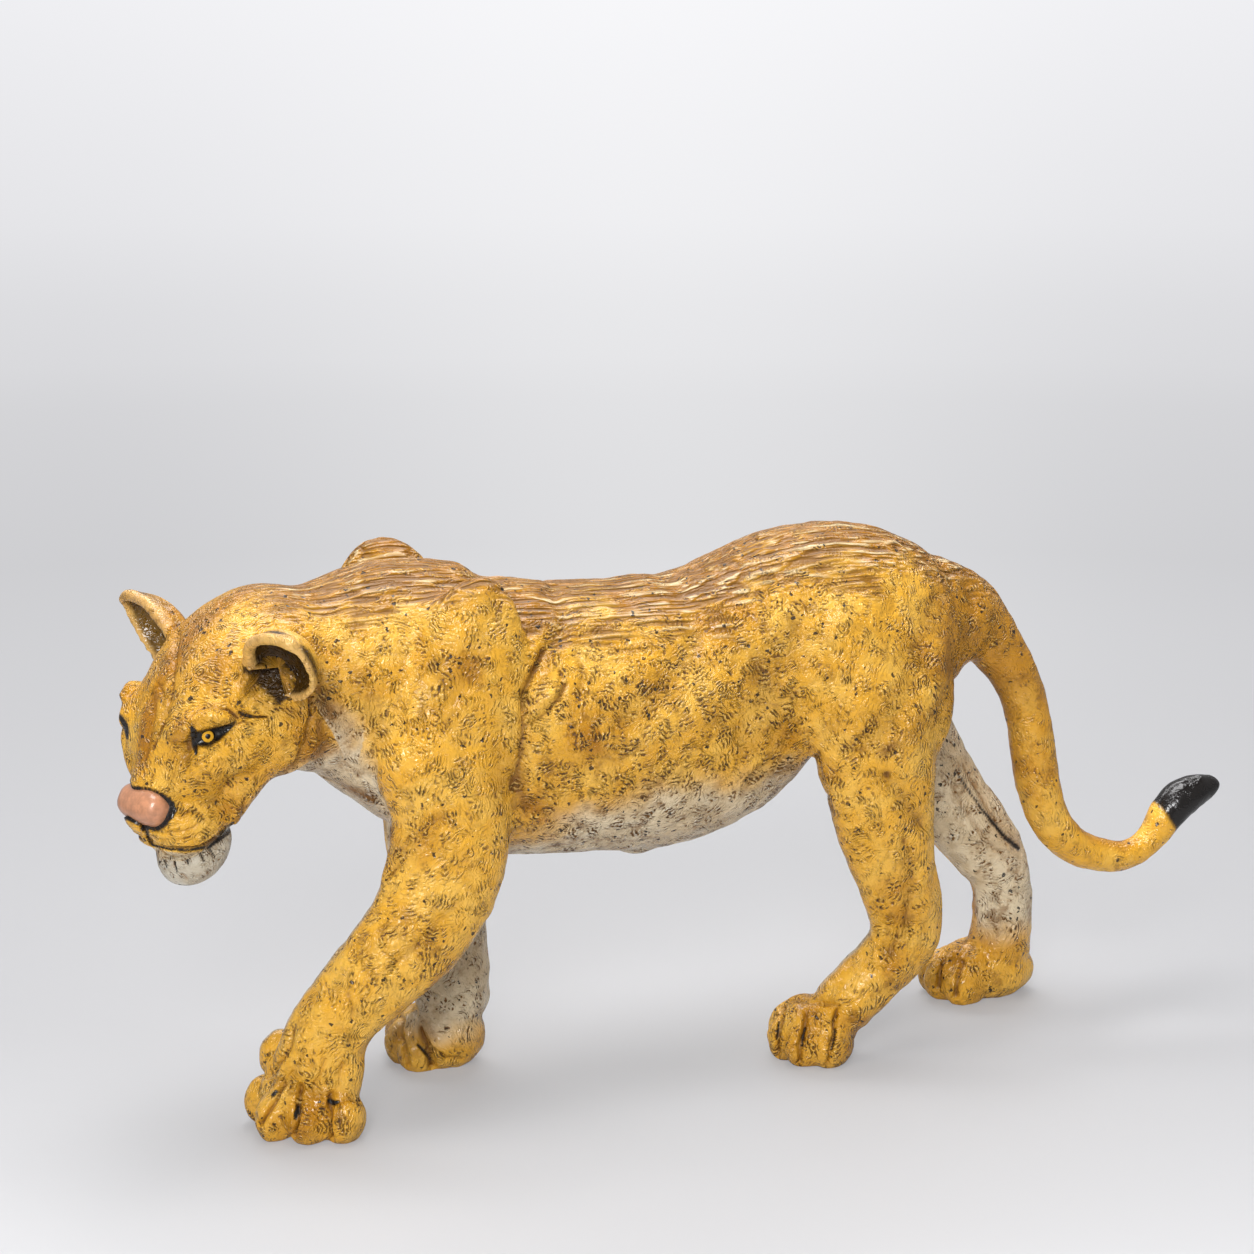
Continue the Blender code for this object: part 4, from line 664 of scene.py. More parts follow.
def add_tail(mesh):
    """Adds the tail: a Geometry Nodes tube along a smooth curve, as thick as the curve's own radius says."""
    curve = bpy.data.curves.new("tail_path", "CURVE")
    curve.dimensions = "3D"
    rows = spline(TAIL_SHARES)
    line = curve.splines.new("POLY")
    line.points.add(len(rows) - 1)
    for point, (x, y, z, radius) in zip(line.points, rows):
        point.co = (*(BODY_GRID @ Vector((x, y, z))), 1)
        point.radius = radius * STEP
    path = bpy.data.objects.new("tail_path", curve)
    bpy.context.scene.collection.objects.link(path)
    tree = bpy.data.node_groups.new("Tapered tube", "GeometryNodeTree")
    tree.interface.new_socket("Geometry", in_out="INPUT", socket_type="NodeSocketGeometry")
    sides = tree.interface.new_socket("Sides", in_out="INPUT", socket_type="NodeSocketInt")
    tree.interface.new_socket("Geometry", in_out="OUTPUT", socket_type="NodeSocketGeometry")
    nodes, links = tree.nodes, tree.links
    given, made = nodes.new("NodeGroupInput"), nodes.new("NodeGroupOutput")
    ring = nodes.new("GeometryNodeCurvePrimitiveCircle")
    ring.inputs["Radius"].default_value = 1
    tube = nodes.new("GeometryNodeCurveToMesh")
    tube.inputs["Fill Caps"].default_value = True
    radius = nodes.new("GeometryNodeInputRadius")
    real = nodes.new("GeometryNodeRealizeInstances")
    paint = nodes.new("GeometryNodeSetMaterial")
    links.new(given.outputs["Sides"], ring.inputs["Resolution"])
    links.new(given.outputs["Geometry"], tube.inputs["Curve"])
    links.new(ring.outputs["Curve"], tube.inputs["Profile Curve"])
    if "Scale" in tube.inputs:
        links.new(radius.outputs["Radius"], tube.inputs["Scale"])
    links.new(tube.outputs["Mesh"], real.inputs["Geometry"])
    links.new(real.outputs["Geometry"], paint.inputs["Geometry"])
    links.new(paint.outputs["Geometry"], made.inputs["Geometry"])
    tube_maker = path.modifiers.new("tapered_tube", "NODES")
    tube_maker.node_group = tree
    tube_maker[sides.identifier] = RING_SIDES
    graph = bpy.context.evaluated_depsgraph_get()
    data = bpy.data.meshes.new_from_object(path.evaluated_get(graph))
    mesh.from_mesh(data)
    bpy.data.objects.remove(path)
    for row in (TAIL_SHARES[0], TAIL_SHARES[-1]):
        radius_here = row[3]
        add_ball(mesh, row[:3], (radius_here,) * 3, (0, 0, 0), BODY_GRID)


def all_forms():
    """Every muscle, limb, toe and form of the face, as closed forms that overlap."""
    grid = head_grid()
    mesh = bmesh.new()
    add_tail(mesh)
    for rows in (TRUNK_SHARES, NECK_SHARES, LEFT_FORELEG_SHARES, RIGHT_FORELEG_SHARES,
                 LEFT_HIND_LEG_SHARES, RIGHT_HIND_LEG_SHARES):
        add_loft(mesh, rows, BODY_GRID)
    for middle, radii, turns in MUSCLE_SHARES + WRIST_SHARES:
        add_ball(mesh, middle, radii, turns, BODY_GRID)
    for pad, *toes in PAWS:
        add_ball(mesh, *pad, BODY_GRID)
        for middle, radii, turns in toes:
            add_ball(mesh, middle, radii, turns, BODY_GRID)
            root = Vector(middle).lerp(Vector(pad[0]), ROOT_REACH) + Vector((0, 0, ROOT_RISE))
            add_ball(mesh, root, ROOT_RADII, turns, BODY_GRID)
    add_loft(mesh, SKULL_SHARES, grid)
    add_loft(mesh, BRIDGE_SHARES, grid)
    for rows in (CHEEKBONE_SHARES, JAW_SHARES):
        add_loft(mesh, rows, grid)
        add_loft(mesh, mirrored(rows), grid)
    for middle, radii, turns in MIDDLE_OF_FACE_SHARES:
        add_ball(mesh, middle, radii, turns, grid)
    for (x, y, z), radii, (roll, tilt, turn) in SIDE_OF_FACE_SHARES:
        for side in (1, -1):
            add_ball(mesh, (x, side * y, z), radii, (side * roll, tilt, side * turn), grid)
    for side in (1, -1):
        add_ear(mesh, side)
    bmesh.ops.recalc_face_normals(mesh, faces=mesh.faces)
    return mesh


def one_skin(voxel):
    """The forms worked into one closed skin."""
    mesh = all_forms()
    data = bpy.data.meshes.new("skin")
    mesh.to_mesh(data)
    mesh.free()
    thing = bpy.data.objects.new("skin", data)
    bpy.context.scene.collection.objects.link(thing)
    remesh = thing.modifiers.new("one_skin", "REMESH")
    remesh.mode = "VOXEL"
    remesh.voxel_size = voxel
    graph = bpy.context.evaluated_depsgraph_get()
    skin = bpy.data.meshes.new_from_object(thing.evaluated_get(graph))
    bpy.data.objects.remove(thing)
    return skin


class Skin:
    """The skin's mesh with its points, normals and edges as arrays, while it is carved and painted."""

    def __init__(self, mesh):
        self.mesh = mesh
        self.read()

    def read(self):
        count = len(self.mesh.vertices)
        self.points = np.empty(count * 3)
        self.mesh.vertices.foreach_get("co", self.points)
        self.points = self.points.reshape(-1, 3)
        self.edges = np.empty(len(self.mesh.edges) * 2, np.int32)
        self.mesh.edges.foreach_get("vertices", self.edges)
        self.edges = self.edges.reshape(-1, 2)
        self.neighbours = np.bincount(self.edges.ravel(), minlength=count)
        self.find_normals()

    def find_normals(self):
        self.mesh.vertices.foreach_set("co", self.points.ravel())
        self.mesh.update()
        self.normals = np.empty(len(self.points) * 3)
        self.mesh.vertex_normals.foreach_get("vector", self.normals)
        self.normals = self.normals.reshape(-1, 3)

    def averaged(self, values):
        """Each point's values, averaged over its neighbours."""
        ends, starts = self.edges[:, 0], self.edges[:, 1]
        flat = values.reshape(len(values), -1)
        total = np.empty_like(flat)
        for k in range(flat.shape[1]):
            total[:, k] = (np.bincount(ends, flat[starts, k], len(flat))
                           + np.bincount(starts, flat[ends, k], len(flat)))
        return (total / self.neighbours[:, None]).reshape(values.shape)

    def soften(self, values, rounds, weight=1.0):
        """Values or places moved towards their neighbours' mean, half of the way each round."""
        weight = np.broadcast_to(weight, len(values)).reshape((-1,) + (1,) * (values.ndim - 1))
        for _ in range(rounds):
            values = values + (self.averaged(values) - values) * weight / 2
        return values

    def push(self, heights):
        """Moves each point along its normal."""
        self.points = self.points + self.normals * heights[:, None]
        self.find_normals()


def noise(points, size, seed):
    """Smooth noise from -1 to 1 in lumps of about that size, the same on each run."""
    lattice = np.random.default_rng(seed).uniform(-1, 1, (LATTICE, LATTICE, LATTICE))
    places = points / size
    cell = np.floor(places).astype(int)
    t = places - cell
    t = t * t * (3 - 2 * t)
    total = np.zeros(len(points))
    for corner in np.ndindex(2, 2, 2):
        index = (cell + corner) % LATTICE
        share = np.prod(np.where(corner, t, 1 - t), axis=1)
        total += share * lattice[index[:, 0], index[:, 1], index[:, 2]]
    return total


def node_labels(points):
    """The number of the CAD node whose skin is nearest to each point."""
    corners, faces, owners = [], [], []
    for number, name in enumerate(NODE_NAMES):
        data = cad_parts[name].data
        first = len(corners)
        corners.extend(vert.co for vert in data.vertices)
        for face in data.polygons:
            faces.append([first + k for k in face.vertices])
            owners.append(number)
    tree = BVHTree.FromPolygons(corners, faces)
    return np.array([owners[tree.find_nearest(Vector(point))[2]] for point in points])


def settle_labels(skin, labels):
    """Evens out the borders between nodes."""
    shares = np.eye(len(NODE_NAMES))[labels]
    shares = skin.soften(shares, 6)
    return shares


def refined(skin, wanted):
    """The skin with every face inside the wanted region cut in four."""
    mesh = bmesh.new()
    mesh.from_mesh(skin.mesh)
    mesh.verts.ensure_lookup_table()
    edges = [edge for edge in mesh.edges if wanted[edge.verts[0].index] and wanted[edge.verts[1].index]]
    bmesh.ops.subdivide_edges(mesh, edges=edges, cuts=1, use_grid_fill=True)
    data = bpy.data.meshes.new("skin")
    mesh.to_mesh(data)
    mesh.free()
    return Skin(data)


def in_place(points, place):
    """The points in a place's own measures."""
    back = np.array(place.inverted())
    return points @ back[:3, :3].T + back[:3, 3]


def out_of_place(spots, place):
    """The points that have these measures in a place."""
    there = np.array(place)
    return spots @ there[:3, :3].T + there[:3, 3]


def head_shares(points):
    """The points on the head's own grid."""
    return in_place(points, head_grid())


def from_head_shares(spots):
    return out_of_place(spots, head_grid())


def flip(region, points, normals):
    """The points and normals as in a mirror, across the head's middle or the body's."""
    if region in HEAD_PARTS:
        flipped = head_shares(points)
        tips = head_shares(points + normals * STEP)
        for places in (flipped, tips):
            in_front = ease(places[:, 0], -0.10, -0.04) * ease(places[:, 2], -0.075, -0.035)
            share = 1 / (1 + (FAR_FACE - 1) * in_front)
            places[:, 1] *= -np.where(places[:, 1] < 0, share, 1 / share)
        flipped = from_head_shares(flipped)
        return flipped, unit(from_head_shares(tips) - flipped)
    middle = (BODY_GRID @ Vector((0, 0, 0))).y
    flipped = points.copy()
    flipped[:, 1] = 2 * middle - flipped[:, 1]
    return flipped, normals * np.array((1, -1, 1))


def stroke_reach(view, region, both_sides, marks, skin, members, sharp):
    """How strongly a stroke touches each point of its region, from 0 to 1."""
    strength = np.zeros(len(skin.points))
    chosen = np.flatnonzero(members)
    for side in ((1, -1) if both_sides else (1,)):
        points, normals = skin.points[chosen], skin.normals[chosen]
        if side < 0:
            points, normals = flip(region, points, normals)
        places = view.pixels(points)
        facing = ease(view.facing(points, normals), 0.02, 0.25)
        nearest = np.full(len(chosen), 1e9)
        for (x0, y0, w0), (x1, y1, w1) in zip(marks, marks[1:]):
            start, run = np.array((x0, y0)), np.array((x1 - x0, y1 - y0))
            t = clamp((places - start) @ run / (run @ run))
            gap = np.linalg.norm(places - start - t[:, None] * run, axis=1)
            nearest = np.minimum(nearest, gap / (w0 + (w1 - w0) * t))
        if not sharp:
            nearest *= skin.unevenness[chosen]
        reach = 1 - ease(nearest, 0.8, 1.25) if sharp else np.exp(-nearest ** 2)
        strength[chosen] = np.maximum(strength[chosen], reach * facing)
    return strength


def on_nodes(owner, names):
    """Which points belong to one of the named nodes."""
    return np.isin(owner, [NODE_NAMES.index(name) for name in names])


def region_members(region, owner):
    """Which points a stroke can touch: the head's strokes reach the trunk, the neck's all but jaw and ears."""
    if region == "body":
        return ~on_nodes(owner, HEAD_PARTS)
    if region == "head":
        return on_nodes(owner, ("head", "trunk"))
    if region == "neck":
        return ~on_nodes(owner, HEAD_PARTS[1:])
    return owner == NODE_NAMES.index(region)


def limb_flow(points):
    """Which way the hair lies at each point: along the nearest limb, from nose to tail and down the legs."""
    flow = np.zeros_like(points)
    total = np.zeros(len(points))
    grid = head_grid()
    limbs = [(TRUNK_SHARES, BODY_GRID, 1.0), (NECK_SHARES[::-1], BODY_GRID, 1.0), (TAIL_SHARES, BODY_GRID, 1.5),
             (SKULL_SHARES[::-1], grid, 1.2)]
    limbs += [(rows, BODY_GRID, 1.3) for rows in (LEFT_FORELEG_SHARES, RIGHT_FORELEG_SHARES,
                                                  LEFT_HIND_LEG_SHARES, RIGHT_HIND_LEG_SHARES)]
    for rows, place, weight in limbs:
        middles = [np.array(place @ Vector(row[:3])) for row in rows]
        for row, start, end in zip(rows, middles, middles[1:]):
            reach = row[3] * STEP
            gap = np.sum((points - (start + end) / 2) ** 2, axis=1) / reach ** 2
            share = weight * np.exp(-2.0 * gap) + 1e-9
            flow += share[:, None] * unit(end - start)
            total += share
    return unit(flow / total[:, None])


def hair_direction(skin):
    """The hair's direction on the surface, turned here and there into waves and whorls."""
    flow = limb_flow(skin.points)
    normals = unit(skin.soften(skin.normals, 12))
    flow = unit(flow - normals * np.sum(flow * normals, axis=1, keepdims=True))
    down = np.array((0.0, 0.0, -0.55))
    flow = unit(flow + down - normals * (normals @ down)[:, None])
    turn = 1.1 * noise(skin.points, 7 * MM, 11) + 0.9 * noise(skin.points, 3.2 * MM, 12)
    sideways = np.cross(normals, flow)
    return unit(flow * np.cos(turn)[:, None] + sideways * np.sin(turn)[:, None]), normals


def tufts(skin, hair, normals, owner, spacing, seed):
    """Short curved hairs in clumps: where in the row of hairs each point lies, and how far inside its clump."""
    rng = np.random.default_rng(seed)
    on_head = on_nodes(owner, HEAD_PARTS)
    size = np.where(on_head, *TUFT_SIZES) * MM
    order = rng.permutation(len(skin.points))
    cells = np.floor(skin.points[order] / size[order, None] + rng.random(3)).astype(np.int64)
    keys = (cells[:, 0] * 4099 + cells[:, 1]) * 4099 + cells[:, 2]
    seeds = order[np.unique(keys, return_index=True)[1]]
    tree = KDTree(len(seeds))
    for number, place in enumerate(skin.points[seeds].tolist()):
        tree.insert(place, number)
    tree.balance()
    found = [tree.find_n(place, 2) for place in skin.points.tolist()]
    nearest = np.array([pair[0][1] for pair in found])
    gaps = np.array([(pair[0][2], pair[1][2]) for pair in found])
    count = len(seeds)
    lean = rng.normal(0, TUFT_LEAN, count)
    along, up = hair[seeds], normals[seeds]
    along = unit(along * np.cos(lean)[:, None] + np.cross(up, along) * np.sin(lean)[:, None])
    across = np.cross(along, up)
    bend = rng.normal(0, 1, count) * TUFT_BEND
    step = spacing * rng.uniform(0.8, 1.25, count) * np.where(on_head[seeds], 0.78, 1.0)
    rings = rng.random(count) < TUFT_WHORLS
    away = skin.points - skin.points[seeds][nearest]
    run = np.sum(away * along[nearest], axis=1)
    side = np.sum(away * across[nearest], axis=1)
    curved = side + bend[nearest] * run ** 2
    round_gap = np.sqrt(run ** 2 + (side * 1.5) ** 2)
    phase = np.where(rings[nearest], round_gap, curved) / step[nearest] + rng.random(count)[nearest]
    inside = ease((gaps[:, 1] - gaps[:, 0]) / size, 0.02, 0.34)
    calm = np.ones(len(NODE_NAMES))
    for name, share in CALM_HAIR.items():
        calm[NODE_NAMES.index(name)] = share
    return phase, inside * rng.uniform(0.60, 1.15, count)[nearest] * calm[owner]


def sculpt(skin, owner, view, sizes):
    """Carves the strokes and raises the uneven lumps; returns how much dark wash and painted shade the strokes hold.
    """
    wash_and_shade = np.zeros(len(skin.points))
    heights = np.zeros(len(skin.points))
    skin.unevenness = 1 + 0.30 * noise(skin.points, 1.6 * MM, 41) + 0.20 * noise(skin.points, 0.8 * MM, 42)
    for region, both_sides, depth, dark, marks in STROKES:
        members = region_members(region, owner)
        reach = stroke_reach(view, region, both_sides, marks, skin, members, False)
        heights -= reach * depth * MM
        # each stroke lays dark wash and painted shade in its crease
        wash_and_shade = np.maximum(wash_and_shade, reach * dark)
    gap = np.linalg.norm(head_shares(skin.points) - np.array(FAR_LID_SHARES), axis=1) / FAR_LID_REACH
    heights += FAR_LID_HEIGHT * np.exp(-gap ** 2) * (owner == NODE_NAMES.index("head"))
    skin.push(heights)
    calm = np.where(on_nodes(owner, HEAD_PARTS), 0.45, 1.0)
    lumps = (noise(skin.points, 3.4 * MM, 21) + 0.7 * noise(skin.points, 1.9 * MM, 22)
             + 0.5 * noise(skin.points, 1.1 * MM, 23))
    skin.push(lumps * sizes.lump_height * calm)
    return wash_and_shade


def hollows(skin, rounds):
    """How far each point lies below its surroundings, in metres."""
    return np.sum((skin.soften(skin.points, rounds) - skin.points) * skin.normals, axis=1)


def nose_place():
    return (head_grid() @ Matrix.Translation(NOSE_SHARES) @ turned((0, NOSE_TILT, 0))
            @ Matrix.Diagonal((*NOSE_RADII_SHARES, 1)))


def round_nose(points):
    """How far out each point lies, in the nose pad's own radii."""
    spots = in_place(points, nose_place())
    return np.sum(np.abs(spots) ** NOSE_SQUARENESS, axis=1) ** (1 / NOSE_SQUARENESS)


def clear_cups(skin, owner):
    """Takes away what stands in the hollows of the ears."""
    near = on_nodes(owner, HEAD_PARTS)
    deep, wide, tall = (radius - EAR_WALL for radius in EAR_RADII)
    for side in (1, -1):
        place = ear_frame(side)
        spots = in_place(skin.points, place)
        rise = spots[:, 2] / tall
        narrow = np.sqrt(clamp(1 - rise ** 2)) * (1 - EAR_POINT_SHARE * np.maximum(rise, 0) ** 2)
        across = np.abs(spots[:, 1]) / np.maximum(wide * narrow, 1e-9)
        wall = -deep * narrow * np.sqrt(clamp(1 - across ** 2))
        share = near * ease(0.94 - across, 0, 0.14) * ease(rise, -0.95, -0.75) * (spots[:, 0] > wall)
        share = share * (spots[:, 0] < EAR_RADII[0])
        spots[:, 0] += (wall - spots[:, 0]) * share
        skin.points = np.where(share[:, None] > 0, out_of_place(spots, place), skin.points)


def bed_nose(skin, owner):
    """Sinks the skin where the nose pad covers it."""
    out = round_nose(skin.points)
    sunk = (owner == NODE_NAMES.index("head")) & (out < NOSE_BED) & (out > NOSE_FLOOR)
    centre = np.array(nose_place().translation)
    skin.points[sunk] = centre + (skin.points[sunk] - centre) * (NOSE_FLOOR / out[sunk])[:, None]


def paint_masks(skin, owner, view, wash_and_shade):
    """Where each paint goes, as named values on the points; the dark and cup values also hold painted shade."""
    x, y, z = in_place(skin.points, BODY_GRID).T
    forwards, left, up = head_shares(skin.points).T
    legs = {name: owner == NODE_NAMES.index(name) for name in NODE_NAMES}
    head_part = on_nodes(owner, HEAD_PARTS)
    wave = 0.6 * noise(skin.points, 6 * MM, 31) + 0.4 * noise(skin.points, 2.4 * MM, 32)
    normals = unit(skin.soften(skin.normals, 10))
    normal_z = normals[:, 2]
    outwards = normals[:, 1] * np.sign(y)
    belly = ease(0.452 - 0.068 * ease(-x, 0.0, 0.30) - z + 0.030 * wave - 0.06 * np.maximum(normal_z, 0), 0.0, 0.06)
    belly = belly * legs["trunk"] * ease(x, -0.40, -0.30)
    inner = ease(-outwards + 0.2 * wave, -0.10, 0.35)
    fore = legs["left_foreleg"] | legs["right_foreleg"]
    hind = legs["left_hind_leg"] | legs["right_hind_leg"]
    low_enough = ease(0.50 - z, 0, 0.06)
    inner_legs = inner * (fore | hind) * ease(z + 0.02 * wave + 0.045 * fore, 0.075, 0.130) * low_enough
    side_of_throat = ease(0.580 - z - 0.10 * ease(x, -0.46, -0.34) + 0.03 * wave, 0.0, 0.06)
    throat = side_of_throat * ease(-0.33 - x, 0, 0.06) * (legs["trunk"] | legs["head"])
    throat = throat * ~(head_part & (forwards > -0.13)) * (np.abs(y) < 0.16)
    under_jaw = head_part * ease(-up - 0.104 + 0.02 * wave, 0, 0.03) * ease(0.02 - forwards, 0, 0.05)
    pale = np.maximum.reduce([belly, inner_legs, throat, under_jaw, legs["lower_jaw"] * 1.0])
    neck = head_part * ease(forwards, -0.22, -0.12)
    for region, marks in PALE_STROKES:
        members = region_members(region, owner) & head_part
        pale = np.maximum(pale, stroke_reach(view, region, True, marks, skin, members, True))
    back = ease(normal_z + 0.35 * wave, 0.50, 0.95) * ease(z, 0.55, 0.63) * (1 - neck)
    blade_tops = ease(z + 0.02 * wave, 0.66, 0.72) * (fore * 1.0)
    crown = head_part * ease(up + 0.25 * forwards + 0.04 * wave, 0.012, 0.06)
    stripe = head_part * ease(0.026 + 0.010 * wave - np.abs(left), 0, 0.018) * ease(up, -0.035, 0.0)
    haunch = (hind | legs["trunk"] | legs["tail"]) * ease(x + 0.02 * wave, 0.33, 0.41) * ease(z, 0.38, 0.54) * 0.8
    tail_top = legs["tail"] * ease(normals[:, 0] * 0.5 + normal_z + 0.3 * wave, 0.35, 0.95) * 0.7
    amber = np.maximum.reduce([back, blade_tops, crown * 0.75, stripe, tail_top, haunch])
    ears = legs["left_ear"] | legs["right_ear"]
    amber = amber * (1 - 0.8 * ears)
    # cup: the ears' dark insides together with painted shade of their hollows; the head's skin standing in an ear's
    # opening is darkened as part of the hollow, the far ear a little less
    cup, rims = np.zeros(len(x)), np.zeros(len(x))
    for name, side in (("left_ear", 1), ("right_ear", -1)):
        place = ear_frame(side)
        spot = in_place(skin.points, place)
        facing_out = skin.normals @ np.array(place)[:3, 0]
        deep, wide, tall = EAR_RADII
        leaf = (spot[:, 1] / wide) ** 2 + (spot[:, 2] / tall) ** 2
        near = ease(1.0 - leaf, 0.0, 0.15) * (spot[:, 0] > -deep * 1.1)
        near = near * (1.0 if side > 0 else 0.8)
        wall = (EAR_WALL - deep) * np.sqrt(clamp(1 - leaf))
        standing = ease(spot[:, 0] - wall, 0.2 * MM, 0.5 * MM)
        inside = near * ease(-spot[:, 0], 0.0, 0.7 * MM) * np.maximum(ease(facing_out, -0.75, -0.25), standing)
        stopped = legs["head"] * near * ease(1.6 * MM - spot[:, 0], 0.0, 0.7 * MM)
        cup = np.maximum.reduce([cup, inside, stopped])
        rims = np.maximum(rims, legs[name] * ease(1.3 * MM - np.abs(spot[:, 0]), 0.0, 0.8 * MM))
    pale = np.maximum(pale, 0.30 * rims)
    # dark wash together with painted shade of furrows, hollows and muscles
    for region, strength, marks in WASH_AND_SHADE_STROKES:
        members = region_members(region, owner)
        both_sides = region in ("body", "head", "neck")
        reach = stroke_reach(view, region, both_sides, marks, skin, members, False)
        wash_and_shade = np.maximum(wash_and_shade, strength * reach * (0.75 + 0.5 * wave))
    # Darker in the skin's hollows and fine creases, less on the head and near the soles: dark wash that settles there
    # and painted shade of the hollows
    deep = hollows(skin, 40)
    fine = hollows(skin, 8)
    scale = np.where(head_part, 0.6, 1.0)
    settled_and_shaded = ease(deep / scale, 0.02 * MM, 0.40 * MM) * 0.7 + ease(fine / scale, 0.01 * MM, 0.09 * MM) * 0.4
    settled_and_shaded = settled_and_shaded * (0.65 + 0.35 * ease(z, 0.06, 0.12))
    # painted shade under the belly, before the thighs
    groin_shade = legs["trunk"] * ease(0.43 - z, 0, 0.05) * ease(x - 0.14, 0, 0.06)
    streak = ease(normal_z + 0.25 * wave, 0.35, 0.80) * ease(z, 0.55, 0.62) * (1 - neck) * ~legs["tail"]
    # painted shade on the tail's underside, where it faces down and back
    under_tail_shade = legs["tail"] * ease(-normals[:, 0] - normals[:, 2] * 0.4, 0.35, 0.9) * ease(0.62 - x, 0, 0.12)
    # dark: the strokes' dark wash and painted shade, the hollows, and painted shade under the belly and tail
    dark = clamp(np.maximum.reduce([wash_and_shade, settled_and_shaded, groin_shade * 0.7, under_tail_shade * 0.7]))
    black = np.zeros(len(x))
    for region, both_sides, marks in BLACK_STROKES:
        members = region_members(region, owner)
        black = np.maximum(black, stroke_reach(view, region, both_sides, marks, skin, members, True))
    black = np.maximum(black, head_part * ease(1.19 + 0.04 * wave - round_nose(skin.points), 0, 0.05))
    tip = legs["tail"] * ease(x + 0.55 * (z - 0.25) + 0.010 * wave, 0.795, 0.803)
    black = np.maximum(black, tip)
    return {"pale": clamp(pale), "amber": clamp(amber), "dark": dark, "black": clamp(black), "cup": clamp(cup),
            "streak": clamp(streak)}


def eye_place(skin, owner, view):
    """Where the near eye's ball sits: just proud of the skin under its place in the picture."""
    chosen = np.flatnonzero(owner == NODE_NAMES.index("head"))
    places = view.pixels(skin.points[chosen])
    gap = np.linalg.norm(places - np.array(EYE_PIXELS), axis=1) - 40 * view.facing(
        skin.points[chosen], skin.normals[chosen])
    close = chosen[np.argsort(gap)[:12]]
    spot = skin.points[close].mean(axis=0)
    look = unit(unit(skin.normals[close].mean(axis=0)) * 0.4 + unit(view.place - spot) * 0.6)
    return spot + look * (EYE_STANDS_OUT - EYE_RADIUS), look


def far_eye_place(skin, owner, centre, look):
    """Where the far eye's ball sits: opposite the near one, and just proud of the skin there."""
    centre, look = (part[0] for part in flip("head", centre[None], look[None]))
    away = skin.points[owner == NODE_NAMES.index("head")] - centre
    along = away @ look
    aside = np.linalg.norm(away - along[:, None] * look, axis=1)
    close = (aside < EYE_RADIUS / 2) & (np.abs(along) < 4 * MM)
    return centre + look * (along[close].mean() + EYE_STANDS_OUT - EYE_RADIUS), look


def split_skin(skin, shares, masks, coats):
    """Cuts the skin into one piece for each CAD node, closes each inside and keeps the whole skin's normals."""
    mesh = skin.mesh
    starts = np.empty(len(mesh.polygons), np.int32)
    sizes = np.empty(len(mesh.polygons), np.int32)
    corners = np.empty(len(mesh.loops), np.int32)
    mesh.polygons.foreach_get("loop_start", starts)
    mesh.polygons.foreach_get("loop_total", sizes)
    mesh.loops.foreach_get("vertex_index", corners)
    owner_face = np.argmax(np.add.reduceat(shares[corners], starts, axis=0), axis=1)
    middle_x = np.add.reduceat(skin.points[corners, 0], starts) / sizes
    halves = np.where((owner_face == 0) & (middle_x > 0), len(NODE_NAMES), owner_face)
    pieces = []
    for number in range(len(NODE_NAMES) + 1):
        name = NODE_NAMES[number] if number < len(NODE_NAMES) else "trunk"
        label = name + "_skin" if number else "trunk_front_skin"
        label = "trunk_rear_skin" if number == len(NODE_NAMES) else label
        chosen = np.flatnonzero(halves == number)
        pieces.append(skin_piece(label, name, skin, chosen, starts, sizes, corners, masks, coats))
    return pieces


